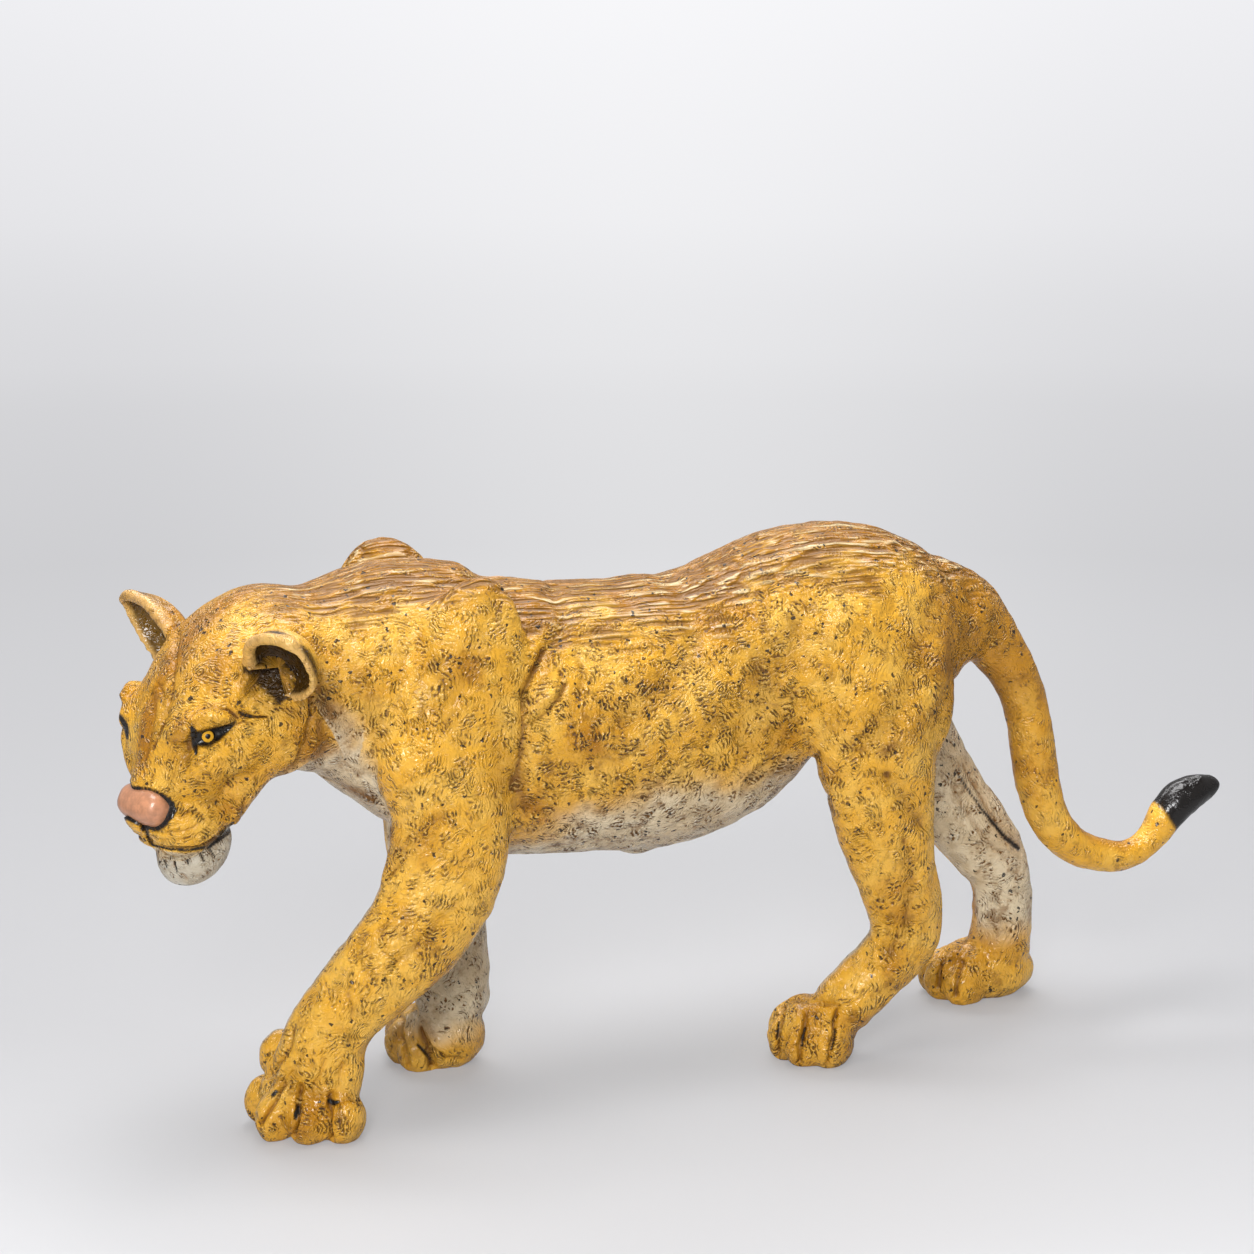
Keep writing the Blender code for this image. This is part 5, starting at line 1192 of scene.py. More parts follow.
def skin_piece(label, name, skin, chosen, starts, sizes, corners, masks, coats):
    """One piece of the skin as an object, with its open rims closed by fans inside the figure."""
    face_sizes = sizes[chosen]
    index = np.repeat(starts[chosen] - np.r_[0, np.cumsum(face_sizes)[:-1]], face_sizes) + np.arange(face_sizes.sum())
    used, local = np.unique(corners[index], return_inverse=True)
    points = skin.points[used]
    first = np.r_[0, np.cumsum(face_sizes)[:-1]]
    following = np.arange(len(local)) + 1
    following[first + face_sizes - 1] = first
    ends = local[following]
    count = len(points)
    forward, reverse = local * count + ends, ends * count + local
    rim = ~np.isin(forward, reverse)
    rim_starts, rim_ends = local[rim], ends[rim]
    group = {}
    for vert in np.unique(np.r_[rim_starts, rim_ends]):
        group[vert] = vert

    def root(vert):
        while group[vert] != vert:
            group[vert] = group[group[vert]]
            vert = group[vert]
        return vert

    for a, b in zip(rim_starts, rim_ends):
        group[root(a)] = root(b)
    roots = np.array([root(vert) for vert in rim_starts])
    hubs = {}
    extra = []
    for key in np.unique(roots):
        ring = rim_starts[roots == key]
        inwards = skin.normals[used[ring]].mean(axis=0) * MM
        hubs[key] = count + len(extra)
        extra.append(points[ring].mean(axis=0) - inwards)
    fans = np.array([(b, a, hubs[key]) for a, b, key in zip(rim_starts, rim_ends, roots)], np.int32).reshape(-1, 3)
    places = np.vstack([points] + extra) if extra else points
    loops = np.r_[local, fans.ravel()]
    totals = np.r_[face_sizes, np.full(len(fans), 3)]
    data = bpy.data.meshes.new(label)
    data.vertices.add(len(places))
    data.vertices.foreach_set("co", places.ravel())
    data.loops.add(len(loops))
    data.loops.foreach_set("vertex_index", loops.astype(np.int32))
    data.polygons.add(len(totals))
    data.polygons.foreach_set("loop_start", np.r_[0, np.cumsum(totals)[:-1]].astype(np.int32))
    data.polygons.foreach_set("use_smooth", np.ones(len(totals), bool))
    data.update(calc_edges=True)
    for key, values in masks.items():
        attribute = data.attributes.new(key, "FLOAT", "POINT")
        attribute.data.foreach_set("value", np.r_[values[used], np.zeros(len(extra))].astype(np.float32))
    flat = np.cross(places[fans[:, 1]] - places[fans[:, 0]], places[fans[:, 2]] - places[fans[:, 0]])
    normals = np.vstack([skin.normals[used][local], np.repeat(unit(flat), 3, axis=0)])
    data.normals_split_custom_set(normals)
    thing = bpy.data.objects.new(label, data)
    bpy.context.scene.collection.objects.link(thing)
    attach(thing, "root")
    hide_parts(name)
    data.materials.append(coats[SLOTS.get(name, "golden_coat")])
    return thing


class Wires:
    """Adds nodes to a tree in short lines."""

    def __init__(self, tree):
        self.tree = tree

    def node(self, kind, settings=None, **inputs):
        made = self.tree.nodes.new(kind)
        for key, value in (settings or {}).items():
            setattr(made, key, value)
        for key, value in inputs.items():
            self.feed(made.inputs[key.replace("_", " ")], value)
        return made

    def feed(self, socket, value):
        if isinstance(value, bpy.types.NodeSocket):
            self.tree.links.new(value, socket)
        else:
            socket.default_value = value

    def math(self, operation, *values, clamped=False):
        made = self.tree.nodes.new("ShaderNodeMath")
        made.operation = operation
        made.use_clamp = clamped
        for socket, value in zip(made.inputs, values):
            self.feed(socket, value)
        return made.outputs[0]

    def band(self, value, low, high, to_low=0.0, to_high=1.0):
        made = self.tree.nodes.new("ShaderNodeMapRange")
        made.interpolation_type = "SMOOTHSTEP"
        for socket, part in zip(made.inputs, (value, low, high, to_low, to_high)):
            self.feed(socket, part)
        return made.outputs[0]

    def mix(self, factor, first, second, blend="MIX"):
        made = self.tree.nodes.new("ShaderNodeMix")
        made.data_type = "RGBA"
        made.blend_type = blend
        self.feed(made.inputs["Factor"], factor)
        self.feed(made.inputs["A"], first)
        self.feed(made.inputs["B"], second)
        return made.outputs["Result"]

    def noise(self, vector, scale, detail=1.0, roughness=0.5):
        made = self.node("ShaderNodeTexNoise", Vector=vector, Scale=scale, Detail=detail, Roughness=roughness)
        return made.outputs["Fac"]


def group_tree(name, inputs, outputs):
    tree = bpy.data.node_groups.new(name, "ShaderNodeTree")
    for label, kind in inputs:
        tree.interface.new_socket(label, in_out="INPUT", socket_type="NodeSocket" + kind)
    for label, kind in outputs:
        tree.interface.new_socket(label, in_out="OUTPUT", socket_type="NodeSocket" + kind)
    return tree, tree.nodes.new("NodeGroupInput"), tree.nodes.new("NodeGroupOutput")


def carved_hair_group():
    """Fine curved grooves from the skin's two sets of clumps, roughened by fine noise."""
    sockets = [(label, "Float") for label in ("Row one", "Inside one", "Row two", "Inside two", "Fineness")]
    tree, given, made = group_tree("Carved hair", [("Vector", "Vector")] + sockets,
                                   (("Height", "Float"), ("Groove", "Float"), ("Dash", "Float")))
    wires = Wires(tree)
    place = given.outputs["Vector"]
    rough = wires.noise(place, given.outputs["Fineness"], 1.0, 0.6)
    coarse = wires.noise(place, wires.math("MULTIPLY", given.outputs["Fineness"], 0.30), 1.0, 0.5)
    worn = wires.band(coarse, 0.36, 0.56, 0.35, 1.15)
    bent = wires.math("MULTIPLY_ADD", wires.math("SUBTRACT", coarse, 0.5), 1.9, wires.math(
        "MULTIPLY", wires.math("SUBTRACT", rough, 0.5), 1.5))
    rows = []
    for label in ("one", "two"):
        row = wires.math("ADD", bent, given.outputs["Row " + label])
        wave = wires.math("COSINE", wires.math("MULTIPLY", row, 2 * pi))
        rows.append(wires.math("MULTIPLY", wave, given.outputs["Inside " + label]))
    both = wires.math("ADD", rows[0], wires.math("MULTIPLY", rows[1], 0.85))
    both = wires.math("MULTIPLY", both, worn)
    height = wires.math("MULTIPLY_ADD", wires.math("SUBTRACT", rough, 0.5), 1.3, both)
    groove = wires.band(height, -0.34, -0.80)
    dash = wires.math("MULTIPLY", wires.band(height, -0.95, -1.40), wires.band(rough, 0.50, 0.42))
    tree.links.new(wires.math("MULTIPLY_ADD", height, 0.3, 0.5), made.inputs["Height"])
    tree.links.new(groove, made.inputs["Groove"])
    tree.links.new(dash, made.inputs["Dash"])
    return tree


def specks_group():
    """Scattered black specks and short dashes."""
    tree, given, made = group_tree("Specks", (("Vector", "Vector"), ("Spacing", "Float")), (("Mask", "Float"),))
    wires = Wires(tree)
    scale = wires.math("DIVIDE", 1.0, given.outputs["Spacing"])
    wobble = wires.node("ShaderNodeTexNoise", Vector=given.outputs["Vector"],
                        Scale=wires.math("MULTIPLY", scale, 2.4))
    shifted = wires.node("ShaderNodeVectorMath", {"operation": "MULTIPLY_ADD"})
    tree.links.new(wobble.outputs["Color"], shifted.inputs[0])
    shifted.inputs[1].default_value = SPECK_WOBBLE
    tree.links.new(given.outputs["Vector"], shifted.inputs[2])
    cells = wires.node("ShaderNodeTexVoronoi", Vector=shifted.outputs[0], Scale=scale, Randomness=1.0)
    size = wires.node("ShaderNodeSeparateColor", Color=cells.outputs["Color"])
    reach = wires.band(size.outputs["Red"], 0.25, 1.0, 0.02, 0.24)
    mask = wires.math("SUBTRACT", reach, cells.outputs["Distance"])
    tree.links.new(wires.band(mask, 0.0, 0.04), made.inputs["Mask"])
    return tree


# Paints over the coat: a dry brush that stands as painted highlight on the raised hair of hide and cream, and painted
# glints on the crests of the spine's strands
BRUSHED_HIGHLIGHT_GOLD = (1.0, 0.68, 0.20, 1)
BRUSHED_HIGHLIGHT_CREAM = (0.92, 0.86, 0.74, 1)
GLINT_PAINT = (0.92, 0.72, 0.40, 1)
# Scales of the coat's noises, and how the strands are stretched along the spine
BROAD_SCALE = 75.0
BLOTCH_SCALE = 190.0
SMUDGE_SCALE = 430.0
STRAND_SCALE = 1300.0
STRAND_STRETCH = (0.10, 1.0, 1.0)
# From one speck to the next, and how far their edges wander
SPECK_SPACING = 0.0013
SPECK_WOBBLE = (0.0009, 0.0009, 0.0009)
# Where the golden ring of the eye fades out and in, from the front of the ball
IRIS_OUTER_EDGE = (0.00078, 0.00070)
IRIS_INNER_EDGE = (0.00028, 0.00036)


def coat_material(name, paints, sizes, groups):
    """The painted and varnished hide: paints by the skin's own masks, dark wash in the carved grooves, painted shade
    from the dark and cup masks, and painted highlights on the raised hair and the spine's crests.
    """
    material = bpy.data.materials.new(name)
    material.use_nodes = True
    tree = material.node_tree
    wires = Wires(tree)
    shader = tree.nodes["Principled BSDF"]
    pale_paint = paints.chin if name == "cream_chin" else paints.cream
    place = wires.node("ShaderNodeTexCoord").outputs["Object"]
    masks = {key: wires.node("ShaderNodeAttribute", {"attribute_name": key}).outputs["Fac"]
             for key in ("pale", "amber", "dark", "black", "cup", "streak", "row_one", "inside_one", "row_two",
                         "inside_two")}
    hair = wires.node("ShaderNodeGroup", {"node_tree": groups["hair"]}, Vector=place,
                      Fineness=1.1 / sizes.fur_spacing, Row_one=masks["row_one"], Inside_one=masks["inside_one"],
                      Row_two=masks["row_two"], Inside_two=masks["inside_two"])
    specks = wires.node("ShaderNodeGroup", {"node_tree": groups["specks"]}, Vector=place, Spacing=SPECK_SPACING)
    blotches = wires.noise(place, BLOTCH_SCALE, 3.0, 0.65)
    broad = wires.noise(place, BROAD_SCALE, 2.0, 0.6)
    lighter = tuple(min(c * k, 1) for c, k in zip(paints.golden, (1.08, 1.20, 2.1)))
    stain_and_shade = tuple(c * 0.42 + w * 0.58 for c, w in zip(paints.amber, paints.wash_and_shade))
    golden = wires.mix(wires.band(blotches, 0.40, 0.62), (*paints.golden, 1), (*lighter, 1))
    golden = wires.mix(wires.band(broad, 0.48, 0.66, 0.0, 0.75), golden, (*[(a + g) / 2 for a, g in zip(
        paints.amber, paints.golden)], 1))
    golden = wires.mix(wires.math("MULTIPLY", wires.band(broad, 0.54, 0.74), wires.band(blotches, 0.56, 0.44)),
                       golden, (*paints.amber, 1))
    coat = wires.mix(wires.math("MULTIPLY", masks["amber"], wires.band(blotches, 0.25, 0.5, 0.7, 1.0)), golden,
                     (*paints.amber, 1))
    cream = wires.mix(wires.band(blotches, 0.35, 0.65), (*pale_paint, 1), (*[c * k for c, k in zip(
        pale_paint, (0.80, 0.74, 0.66))], 1))
    coat = wires.mix(wires.math("MULTIPLY", masks["streak"], 0.22), coat, (*stain_and_shade, 1))
    coat = wires.mix(masks["pale"], coat, cream)
    # dark wash and painted shade from the dark mask, stronger where blotched
    soaked_and_shaded = wires.math("MULTIPLY", masks["dark"], wires.band(blotches, 0.30, 0.62, 0.95, 0.50))
    soaked_and_shaded = wires.math("ADD", soaked_and_shaded, wires.band(masks["dark"], 0.50, 1.0, 0.0, 0.34), clamped=True)
    coat = wires.mix(soaked_and_shaded, coat, (*stain_and_shade, 1))
    # painted highlight: the hair's raised crests lighter, as from a dry brush, but not in the ear cups
    brushed_highlight = wires.math("MULTIPLY", wires.band(hair.outputs["Height"], 0.62, 0.86, 0.0, 0.42), wires.math(
        "SUBTRACT", 1.0, masks["cup"]))
    coat = wires.mix(brushed_highlight, coat, wires.mix(masks["pale"], BRUSHED_HIGHLIGHT_GOLD, BRUSHED_HIGHLIGHT_CREAM))
    smudges = wires.noise(place, SMUDGE_SCALE, 3.0, 0.7)
    smudged = wires.math("MULTIPLY", wires.band(smudges, 0.50, 0.68), wires.band(broad, 0.38, 0.62, 0.22, 0.62))
    coat = wires.mix(smudged, coat, (*stain_and_shade, 1))
    # the hair grooves darken more where the dark mask lays wash and painted shade
    rubbed_and_shaded = wires.math("ADD", masks["dark"], wires.band(broad, 0.40, 0.64, 0.0, 0.55))
    rubbed_and_shaded = wires.math("MULTIPLY_ADD", masks["pale"], 0.6, rubbed_and_shaded)
    groove = wires.math("MULTIPLY", hair.outputs["Groove"], wires.band(rubbed_and_shaded, 0.0, 0.7, 0.66, 1.0))
    coat = wires.mix(groove, coat, (*[c * 0.30 + w * 0.70 for c, w in zip(paints.amber, paints.wash_and_shade)], 1))
    stretched = wires.node("ShaderNodeVectorMath", {"operation": "MULTIPLY"})
    tree.links.new(place, stretched.inputs[0])
    stretched.inputs[1].default_value = STRAND_STRETCH
    strands = wires.noise(stretched.outputs[0], STRAND_SCALE, 1.0)
    furrows = wires.math("MULTIPLY", wires.band(strands, 0.54, 0.38), wires.math("MULTIPLY", masks["streak"], 0.90))
    coat = wires.mix(furrows, coat, (*stain_and_shade, 1))
    # painted glints: pale paint on the crests of the spine's strands
    painted_glints = wires.math("MULTIPLY", wires.band(strands, 0.56, 0.66), wires.math(
        "MULTIPLY", masks["streak"], wires.band(broad, 0.40, 0.60, 0.15, 0.80)))
    coat = wires.mix(painted_glints, coat, GLINT_PAINT)
    # the ear cups: dark inner paint and painted shade of the hollows
    coat = wires.mix(wires.math("MULTIPLY", masks["cup"], 0.96), coat, (*[c * 0.5 for c in paints.wash_and_shade], 1))
    fine_marks = wires.math("MAXIMUM", wires.math("MULTIPLY", specks.outputs["Mask"], 0.9),
                            wires.math("MULTIPLY", hair.outputs["Dash"], 0.75))
    coat = wires.mix(wires.math("MAXIMUM", masks["black"], fine_marks, clamped=True), coat, (*paints.black, 1))
    tree.links.new(coat, shader.inputs["Base Color"])
    gloss = wires.band(blotches, 0.3, 0.7, 0.12, 0.24)
    matt = wires.math("MAXIMUM", groove, wires.math("MAXIMUM", furrows, soaked_and_shaded), clamped=True)
    tree.links.new(wires.math("MULTIPLY_ADD", matt, 0.38, gloss), shader.inputs["Roughness"])
    shader.inputs["Specular IOR Level"].default_value = 0.5
    calm = wires.math("MULTIPLY_ADD", masks["black"], -0.8, 1.0)
    relief = wires.node("ShaderNodeMix", {"data_type": "FLOAT"})
    wires.feed(relief.inputs[0], masks["streak"])
    wires.feed(relief.inputs[2], hair.outputs["Height"])
    wires.feed(relief.inputs[3], wires.math("MULTIPLY_ADD", wires.math("SUBTRACT", strands, 0.5), 4.5, wires.math(
        "MULTIPLY", hair.outputs["Height"], 0.4)))
    depth = wires.math("MULTIPLY", relief.outputs[0], calm)
    bump = wires.node("ShaderNodeBump", Height=depth, Distance=sizes.fur_depth, Strength=1.0)
    tree.links.new(bump.outputs["Normal"], shader.inputs["Normal"])
    return material


def glossy_material(name, colour, roughness, coat):
    material = bpy.data.materials.new(name)
    material.use_nodes = True
    wires = Wires(material.node_tree)
    shader = material.node_tree.nodes["Principled BSDF"]
    place = wires.node("ShaderNodeTexCoord").outputs["Object"]
    mottle = wires.noise(place, 900.0, 3.0, 0.6)
    darker = (*[c * 0.72 for c in colour], 1)
    material.node_tree.links.new(wires.mix(wires.band(mottle, 0.35, 0.7), darker, (*colour, 1)),
                                 shader.inputs["Base Color"])
    shader.inputs["Roughness"].default_value = roughness
    shader.inputs["Coat Weight"].default_value = coat
    shader.inputs["Coat Roughness"].default_value = 0.1
    bump = wires.node("ShaderNodeBump", Height=mottle, Distance=0.00008, Strength=0.6)
    material.node_tree.links.new(bump.outputs["Normal"], shader.inputs["Normal"])
    return material


def eye_material(paints, name, front):
    """Black varnish with a golden ring round the pupil, by the distance from the front of the ball."""
    material = bpy.data.materials.new(name)
    material.use_nodes = True
    tree = material.node_tree
    wires = Wires(tree)
    shader = tree.nodes["Principled BSDF"]
    place = wires.node("ShaderNodeTexCoord").outputs["Object"]
    aim = wires.node("ShaderNodeVectorMath", {"operation": "DISTANCE"})
    tree.links.new(place, aim.inputs[0])
    aim.inputs[1].default_value = front
    rough = wires.noise(place, 3000.0, 1.0)
    gap = wires.math("MULTIPLY_ADD", wires.math("SUBTRACT", rough, 0.5), 0.00012, aim.outputs["Value"])
    ring = wires.math("MULTIPLY", wires.band(gap, *IRIS_OUTER_EDGE), wires.band(gap, *IRIS_INNER_EDGE))
    tree.links.new(wires.mix(ring, (*paints.black, 1), (*paints.iris, 1)), shader.inputs["Base Color"])
    shader.inputs["Roughness"].default_value = 0.30
    shader.inputs["Specular IOR Level"].default_value = 0.20
    return material


def ball_piece(name, place, material):
    mesh = bmesh.new()
    bmesh.ops.create_uvsphere(mesh, u_segments=48, v_segments=32, radius=1, matrix=place)
    bmesh.ops.recalc_face_normals(mesh, faces=mesh.faces)
    for face in mesh.faces:
        face.smooth = True
    data = bpy.data.meshes.new(name)
    mesh.to_mesh(data)
    mesh.free()
    data.materials.append(material)
    thing = bpy.data.objects.new(name, data)
    bpy.context.scene.collection.objects.link(thing)
    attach(thing, "root")
    return thing


class LIONESS_OT_skin(bpy.types.Operator):
    """Sculpts, carves and paints the skin, and cuts it into a piece for each CAD node"""
    bl_idname = "lioness.skin"
    bl_label = "Skin"

    def execute(self, context):
        sizes, paints = context.scene.lioness_sizes, context.scene.lioness_paints
        groups = {"hair": carved_hair_group(), "specks": specks_group()}
        coats = {name: coat_material(name, paints, sizes, groups)
                 for name in ("golden_coat", "amber_coat", "cream_chin")}
        view = View(context.scene.lioness_stage)
        skin = Skin(one_skin(sizes.voxel))
        head = head_shares(skin.points)
        near_head = ease(head[:, 0], -0.22, -0.14) * ease(0.30 - np.linalg.norm(head, axis=1), 0, 0.05)
        low = ease(0.20 - skin.points[:, 2] / STEP, 0, 0.06)
        body_steps, head_steps, paw_steps = ((reach / sizes.voxel) ** 2 for reach in (
            sizes.body_softness, sizes.head_softness, sizes.paw_softness))
        rounds = int(body_steps * ROUNDS_PER_STEP)
        weight = np.full(len(skin.points), 1.0)
        weight += (head_steps / body_steps - weight) * near_head
        weight += (paw_steps / body_steps - weight) * low
        skin.points = skin.soften(skin.points, rounds, weight)
        skin.points[:, 2] = np.maximum(skin.points[:, 2], 0)
        skin.find_normals()
        head = head_shares(skin.points)
        fine = (head[:, 0] > -0.155) & (np.linalg.norm(head, axis=1) < 0.30)
        skin = refined(skin, fine | (skin.points[:, 2] < 0.115 * STEP))
        skin.points = skin.soften(skin.points, 2)
        skin.find_normals()
        shares = settle_labels(skin, node_labels(skin.points))
        owner = np.argmax(shares, axis=1)
        wash_and_shade = sculpt(skin, owner, view, sizes)
        bed_nose(skin, owner)
        clear_cups(skin, owner)
        skin.points[:, 2] = np.maximum(skin.points[:, 2], 0)
        skin.find_normals()
        masks = paint_masks(skin, owner, view, wash_and_shade)
        near_eye = eye_place(skin, owner, view)
        far_eye = far_eye_place(skin, owner, *near_eye)
        for side, (centre, look) in (("left", near_eye), ("right", far_eye)):
            context.scene[side + "_eye_centre"], context.scene[side + "_eye_look"] = centre, look
        hair, normals = hair_direction(skin)
        for label, seed in (("one", 51), ("two", 52)):
            row, inside = tufts(skin, hair, normals, owner, sizes.fur_spacing, seed)
            masks["row_" + label], masks["inside_" + label] = row, inside
        for piece in split_skin(skin, shares, masks, coats):
            print(piece.name, "triangles", sum(len(face.vertices) - 2 for face in piece.data.polygons))
        return {"FINISHED"}


class LIONESS_OT_eyes(bpy.types.Operator):
    """Sets a glossy eye under each brow, where the skin was marked for it"""
    bl_idname = "lioness.eyes"
    bl_label = "Eyes"

    def execute(self, context):
        for name in ("left_eye", "right_eye"):
            centre, look = (np.array(context.scene[name + key]) for key in ("_centre", "_look"))
            material = eye_material(context.scene.lioness_paints, name, centre + look * EYE_RADIUS)
            ball_piece(name, Matrix.Translation(centre) @ Matrix.Scale(EYE_RADIUS, 4), material)
        return {"FINISHED"}


class LIONESS_OT_nose(bpy.types.Operator):
    """Sets the nose pad on the muzzle"""
    bl_idname = "lioness.nose"
    bl_label = "Nose"

    def execute(self, context):
        material = glossy_material("nose_paint", context.scene.lioness_paints.nose, 0.34, 0.4)
        place = nose_place()
        thing = ball_piece("nose_pad", place, material)
        local = place.inverted()
        for vert in thing.data.vertices:
            spot = local @ vert.co
            spot /= sum(abs(part) ** NOSE_SQUARENESS for part in spot) ** (1 / NOSE_SQUARENESS)
            spot.y *= 1 + 0.14 * spot.z
            vert.co = place @ spot
        return {"FINISHED"}


# Each soft box: its name, its place, what it shines on, its size and the setting that holds its power
LAMPS = (
    ("overhead_box", (-0.02, 0.02, 0.55), (0, 0, 0.03), (0.40, 0.26), "overhead"),
    ("front_box", (-0.30, -0.58, 0.38), (-0.01, 0, 0.04), (0.24, 0.24), "front"),
    ("rim_box", (0.05, 0.34, 0.40), (0, 0, 0.06), (0.70, 0.12), "rim"),
)
WORLD_COLOUR = (0.86, 0.87, 0.90, 1)
WORLD_STRENGTH = 0.20
# The floor's rings: radius and height. Its tones: how far out along the paper, and how bright it glows for the
# camera: painted light, darker near the figure and brighter further out
FLOOR_RINGS = ((0.5, 0.0), (0.9, 0.0), (1.15, 0.05), (1.35, 0.18), (1.45, 0.42), (1.48, 1.0), (1.48, 2.2))
FLOOR_SIDES = 96
FLOOR_TONES = ((0.12, 0.66), (0.25, 0.62), (0.46, 0.66), (0.63, 0.72), (0.77, 0.79), (0.95, 0.86))
FLOOR_REACH = 1.6
# The paper is paler in front of the figure, and its glow brighter there and in a band down the middle: painted light
PAPER_BEHIND = (0.45, 0.45, 0.463, 1)
PAPER_IN_FRONT = (0.60, 0.60, 0.612, 1)
GLOW_IN_MIDDLE = (1.3, 1.3, 1.3, 1)
GLOW_IN_FRONT = (0.84, 0.84, 0.865, 1)
# How bright reflections show the backdrop, as a share of what the camera sees
GLOSSY_BACKDROP = 0.4


class LIONESS_OT_stage(bpy.types.Operator):
    """Sets up the pale seamless floor, the soft boxes and the photograph's camera"""
    bl_idname = "lioness.stage"
    bl_label = "Stage"

    def execute(self, context):
        stage = context.scene.lioness_stage
        view = View(stage)
        camera_data = bpy.data.cameras.new("camera")
        camera_data.lens = stage.lens
        camera_data.sensor_width = SENSOR_WIDTH
        camera_data.clip_start = 0.01
        camera = bpy.data.objects.new("camera", camera_data)
        camera.location = view.place
        axes = Matrix((Vector(view.right), Vector(view.up), Vector(view.back))).transposed()
        camera.rotation_euler = axes.to_euler()
        context.scene.collection.objects.link(camera)
        context.scene.camera = camera
        make_floor()
        for name, place, target, size, setting in LAMPS:
            lamp(name, place, target, size, getattr(stage, setting))
        world = bpy.data.worlds.new("studio")
        world.use_nodes = True
        context.scene.world = world
        background = world.node_tree.nodes["Background"]
        background.inputs["Color"].default_value = WORLD_COLOUR
        background.inputs["Strength"].default_value = WORLD_STRENGTH
        context.scene.view_settings.view_transform = "Standard"
        return {"FINISHED"}


def lamp(name, place, target, size, power):
    data = bpy.data.lights.new(name, "AREA")
    data.shape = "RECTANGLE"
    data.size, data.size_y = size
    data.energy = power
    thing = bpy.data.objects.new(name, data)
    thing.location = place
    thing.rotation_euler = (Vector(place) - Vector(target)).to_track_quat("Z", "Y").to_euler()
    bpy.context.scene.collection.objects.link(thing)


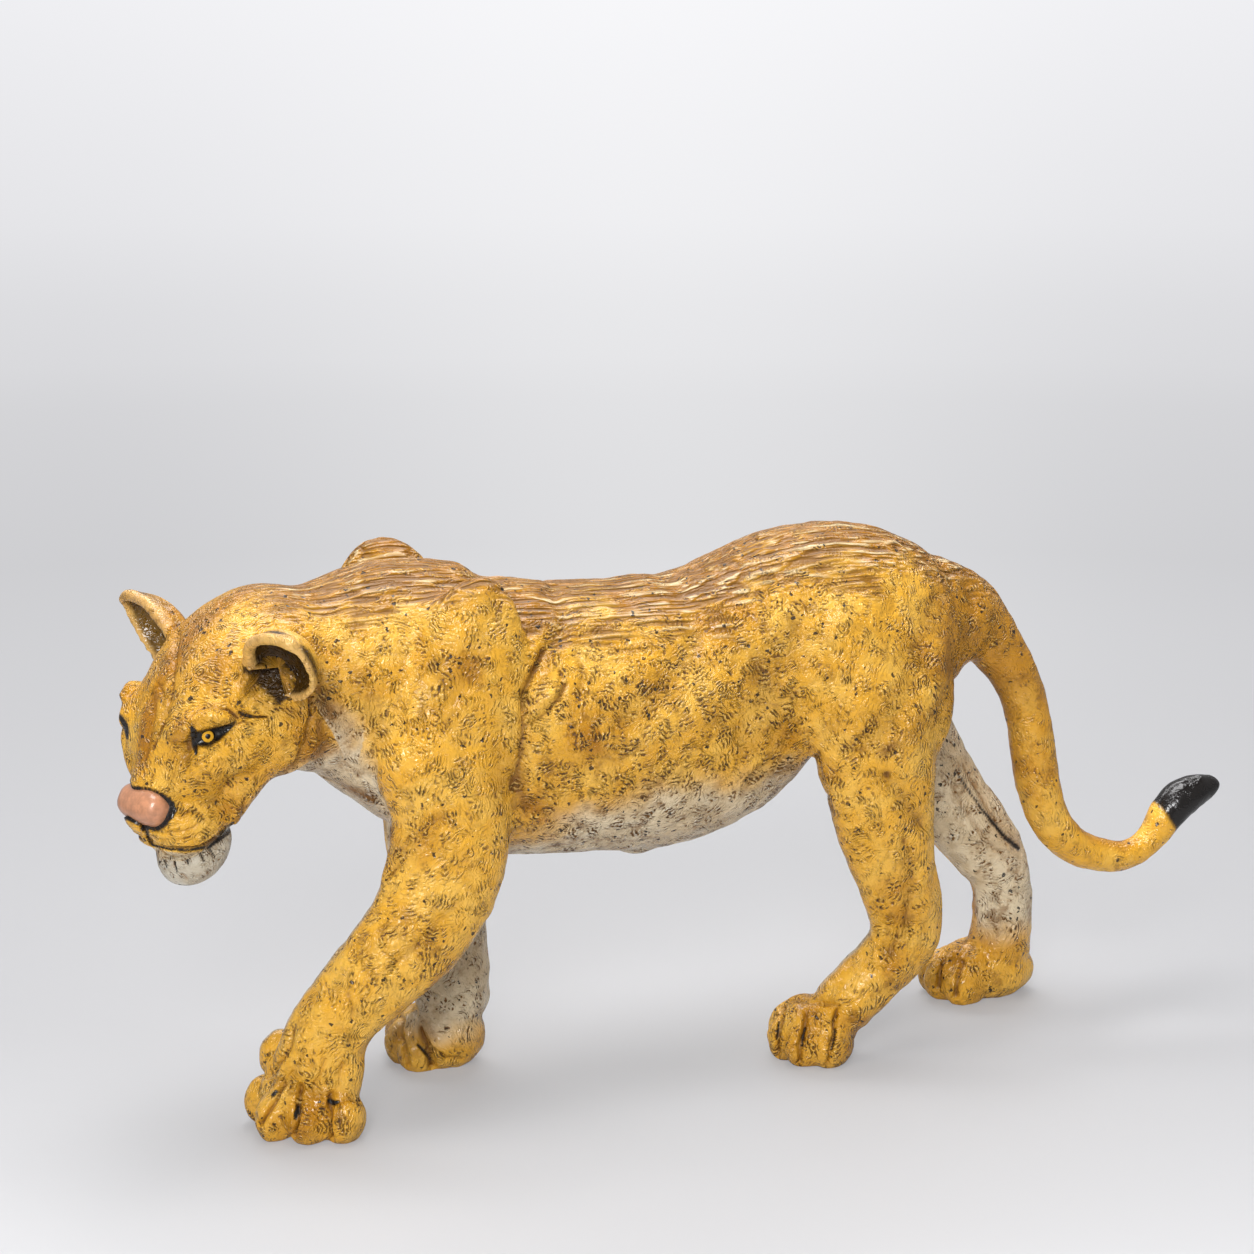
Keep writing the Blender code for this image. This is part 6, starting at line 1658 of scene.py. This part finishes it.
def make_floor():
    """A floor that curves up into a backdrop behind the figure, all round."""
    mesh = bmesh.new()
    turns = [2 * pi * k / FLOOR_SIDES for k in range(FLOOR_SIDES)]
    loops = [[mesh.verts.new((radius * cos(turn), radius * sin(turn), height)) for turn in turns]
             for radius, height in FLOOR_RINGS]
    centre = mesh.verts.new((0, 0, 0))
    for k in range(FLOOR_SIDES):
        mesh.faces.new((centre, loops[0][k - 1], loops[0][k]))
    for first, second in zip(loops, loops[1:]):
        for k in range(FLOOR_SIDES):
            mesh.faces.new((first[k - 1], second[k - 1], second[k], first[k]))
    for face in mesh.faces:
        face.smooth = True
    data = bpy.data.meshes.new("floor")
    mesh.to_mesh(data)
    mesh.free()
    floor = bpy.data.objects.new("floor", data)
    bpy.context.scene.collection.objects.link(floor)
    material = bpy.data.materials.new("floor_paper")
    material.use_nodes = True
    tree = material.node_tree
    wires = Wires(tree)
    shader = tree.nodes["Principled BSDF"]
    shader.inputs["Roughness"].default_value = 0.6
    place = wires.node("ShaderNodeSeparateXYZ", Vector=wires.node("ShaderNodeTexCoord").outputs["Object"])
    out = wires.math("SQRT", wires.math("ADD", wires.math("POWER", place.outputs["X"], 2.0),
                                        wires.math("POWER", place.outputs["Y"], 2.0)))
    reach = wires.math("ADD", out, place.outputs["Z"])
    sideways = wires.math("DIVIDE", wires.math("MULTIPLY_ADD", place.outputs["X"], 0.94, wires.math(
        "MULTIPLY", place.outputs["Y"], -0.342)), wires.math("ADD", reach, 0.3))
    middle = wires.band(wires.math("ABSOLUTE", sideways), 0.0, 0.24, 1.0, 0.0)
    nearer = wires.math("MULTIPLY_ADD", place.outputs["X"], -0.342, wires.math(
        "MULTIPLY", place.outputs["Y"], -0.94))
    foreground = wires.band(nearer, -0.02, 0.09)
    tree.links.new(wires.mix(foreground, PAPER_BEHIND, PAPER_IN_FRONT), shader.inputs["Base Color"])
    ramp = wires.node("ShaderNodeValToRGB", Fac=wires.math("DIVIDE", reach, FLOOR_REACH))
    while len(ramp.color_ramp.elements) < len(FLOOR_TONES):
        ramp.color_ramp.elements.new(0.5)
    for element, (spot, tone) in zip(ramp.color_ramp.elements, FLOOR_TONES):
        element.position = spot
        element.color = (tone, tone, tone * 1.03, 1)
    bright = wires.mix(wires.math("MULTIPLY", middle, 0.16), ramp.outputs["Color"], GLOW_IN_MIDDLE)
    bright = wires.mix(foreground, bright, GLOW_IN_FRONT)
    rays = wires.node("ShaderNodeLightPath")
    glow = wires.node("ShaderNodeEmission", Color=bright,
                      Strength=wires.band(rays.outputs["Is Camera Ray"], 0.0, 1.0, GLOSSY_BACKDROP, 1.0))
    seen = wires.math("MAXIMUM", rays.outputs["Is Camera Ray"], wires.math(
        "MAXIMUM", rays.outputs["Is Glossy Ray"], rays.outputs["Is Transmission Ray"]))
    # the glow covers the paper where the camera sees it, near the figure only about a third, so the lamps' shadow
    # shows there, lightened by painted light
    share = wires.math("MULTIPLY", seen, wires.band(out, 0.08, 0.30, 0.36, 1.0))
    blend = tree.nodes.new("ShaderNodeMixShader")
    tree.links.new(share, blend.inputs["Fac"])
    tree.links.new(shader.outputs["BSDF"], blend.inputs[1])
    tree.links.new(glow.outputs["Emission"], blend.inputs[2])
    tree.links.new(blend.outputs["Shader"], tree.nodes["Material Output"].inputs["Surface"])
    data.materials.append(material)


class LIONESS_PT_panel(bpy.types.Panel):
    """Lists what makes the figure"""
    bl_label = "Lioness"
    bl_idname = "LIONESS_PT_panel"
    bl_space_type = "VIEW_3D"
    bl_region_type = "UI"
    bl_category = "Lioness"

    def draw(self, context):
        for maker in MAKERS:
            self.layout.operator(maker.bl_idname)
        for group in (context.scene.lioness_sizes, context.scene.lioness_paints, context.scene.lioness_stage):
            for key in group.__annotations__:
                self.layout.prop(group, key)


MAKERS = (LIONESS_OT_skin, LIONESS_OT_eyes, LIONESS_OT_nose, LIONESS_OT_stage)
CLASSES = (FigureSizes, FigurePaints, StageSizes, *MAKERS, LIONESS_PT_panel)


def register():
    for kind in CLASSES:
        bpy.utils.register_class(kind)
    bpy.types.Scene.lioness_sizes = bpy.props.PointerProperty(type=FigureSizes)
    bpy.types.Scene.lioness_paints = bpy.props.PointerProperty(type=FigurePaints)
    bpy.types.Scene.lioness_stage = bpy.props.PointerProperty(type=StageSizes)


def unregister():
    del bpy.types.Scene.lioness_sizes
    del bpy.types.Scene.lioness_paints
    del bpy.types.Scene.lioness_stage
    for kind in reversed(CLASSES):
        bpy.utils.unregister_class(kind)


def main():
    register()
    bpy.ops.lioness.skin()
    bpy.ops.lioness.eyes()
    bpy.ops.lioness.nose()
    bpy.ops.lioness.stage()


if __name__ == "__main__":
    main()
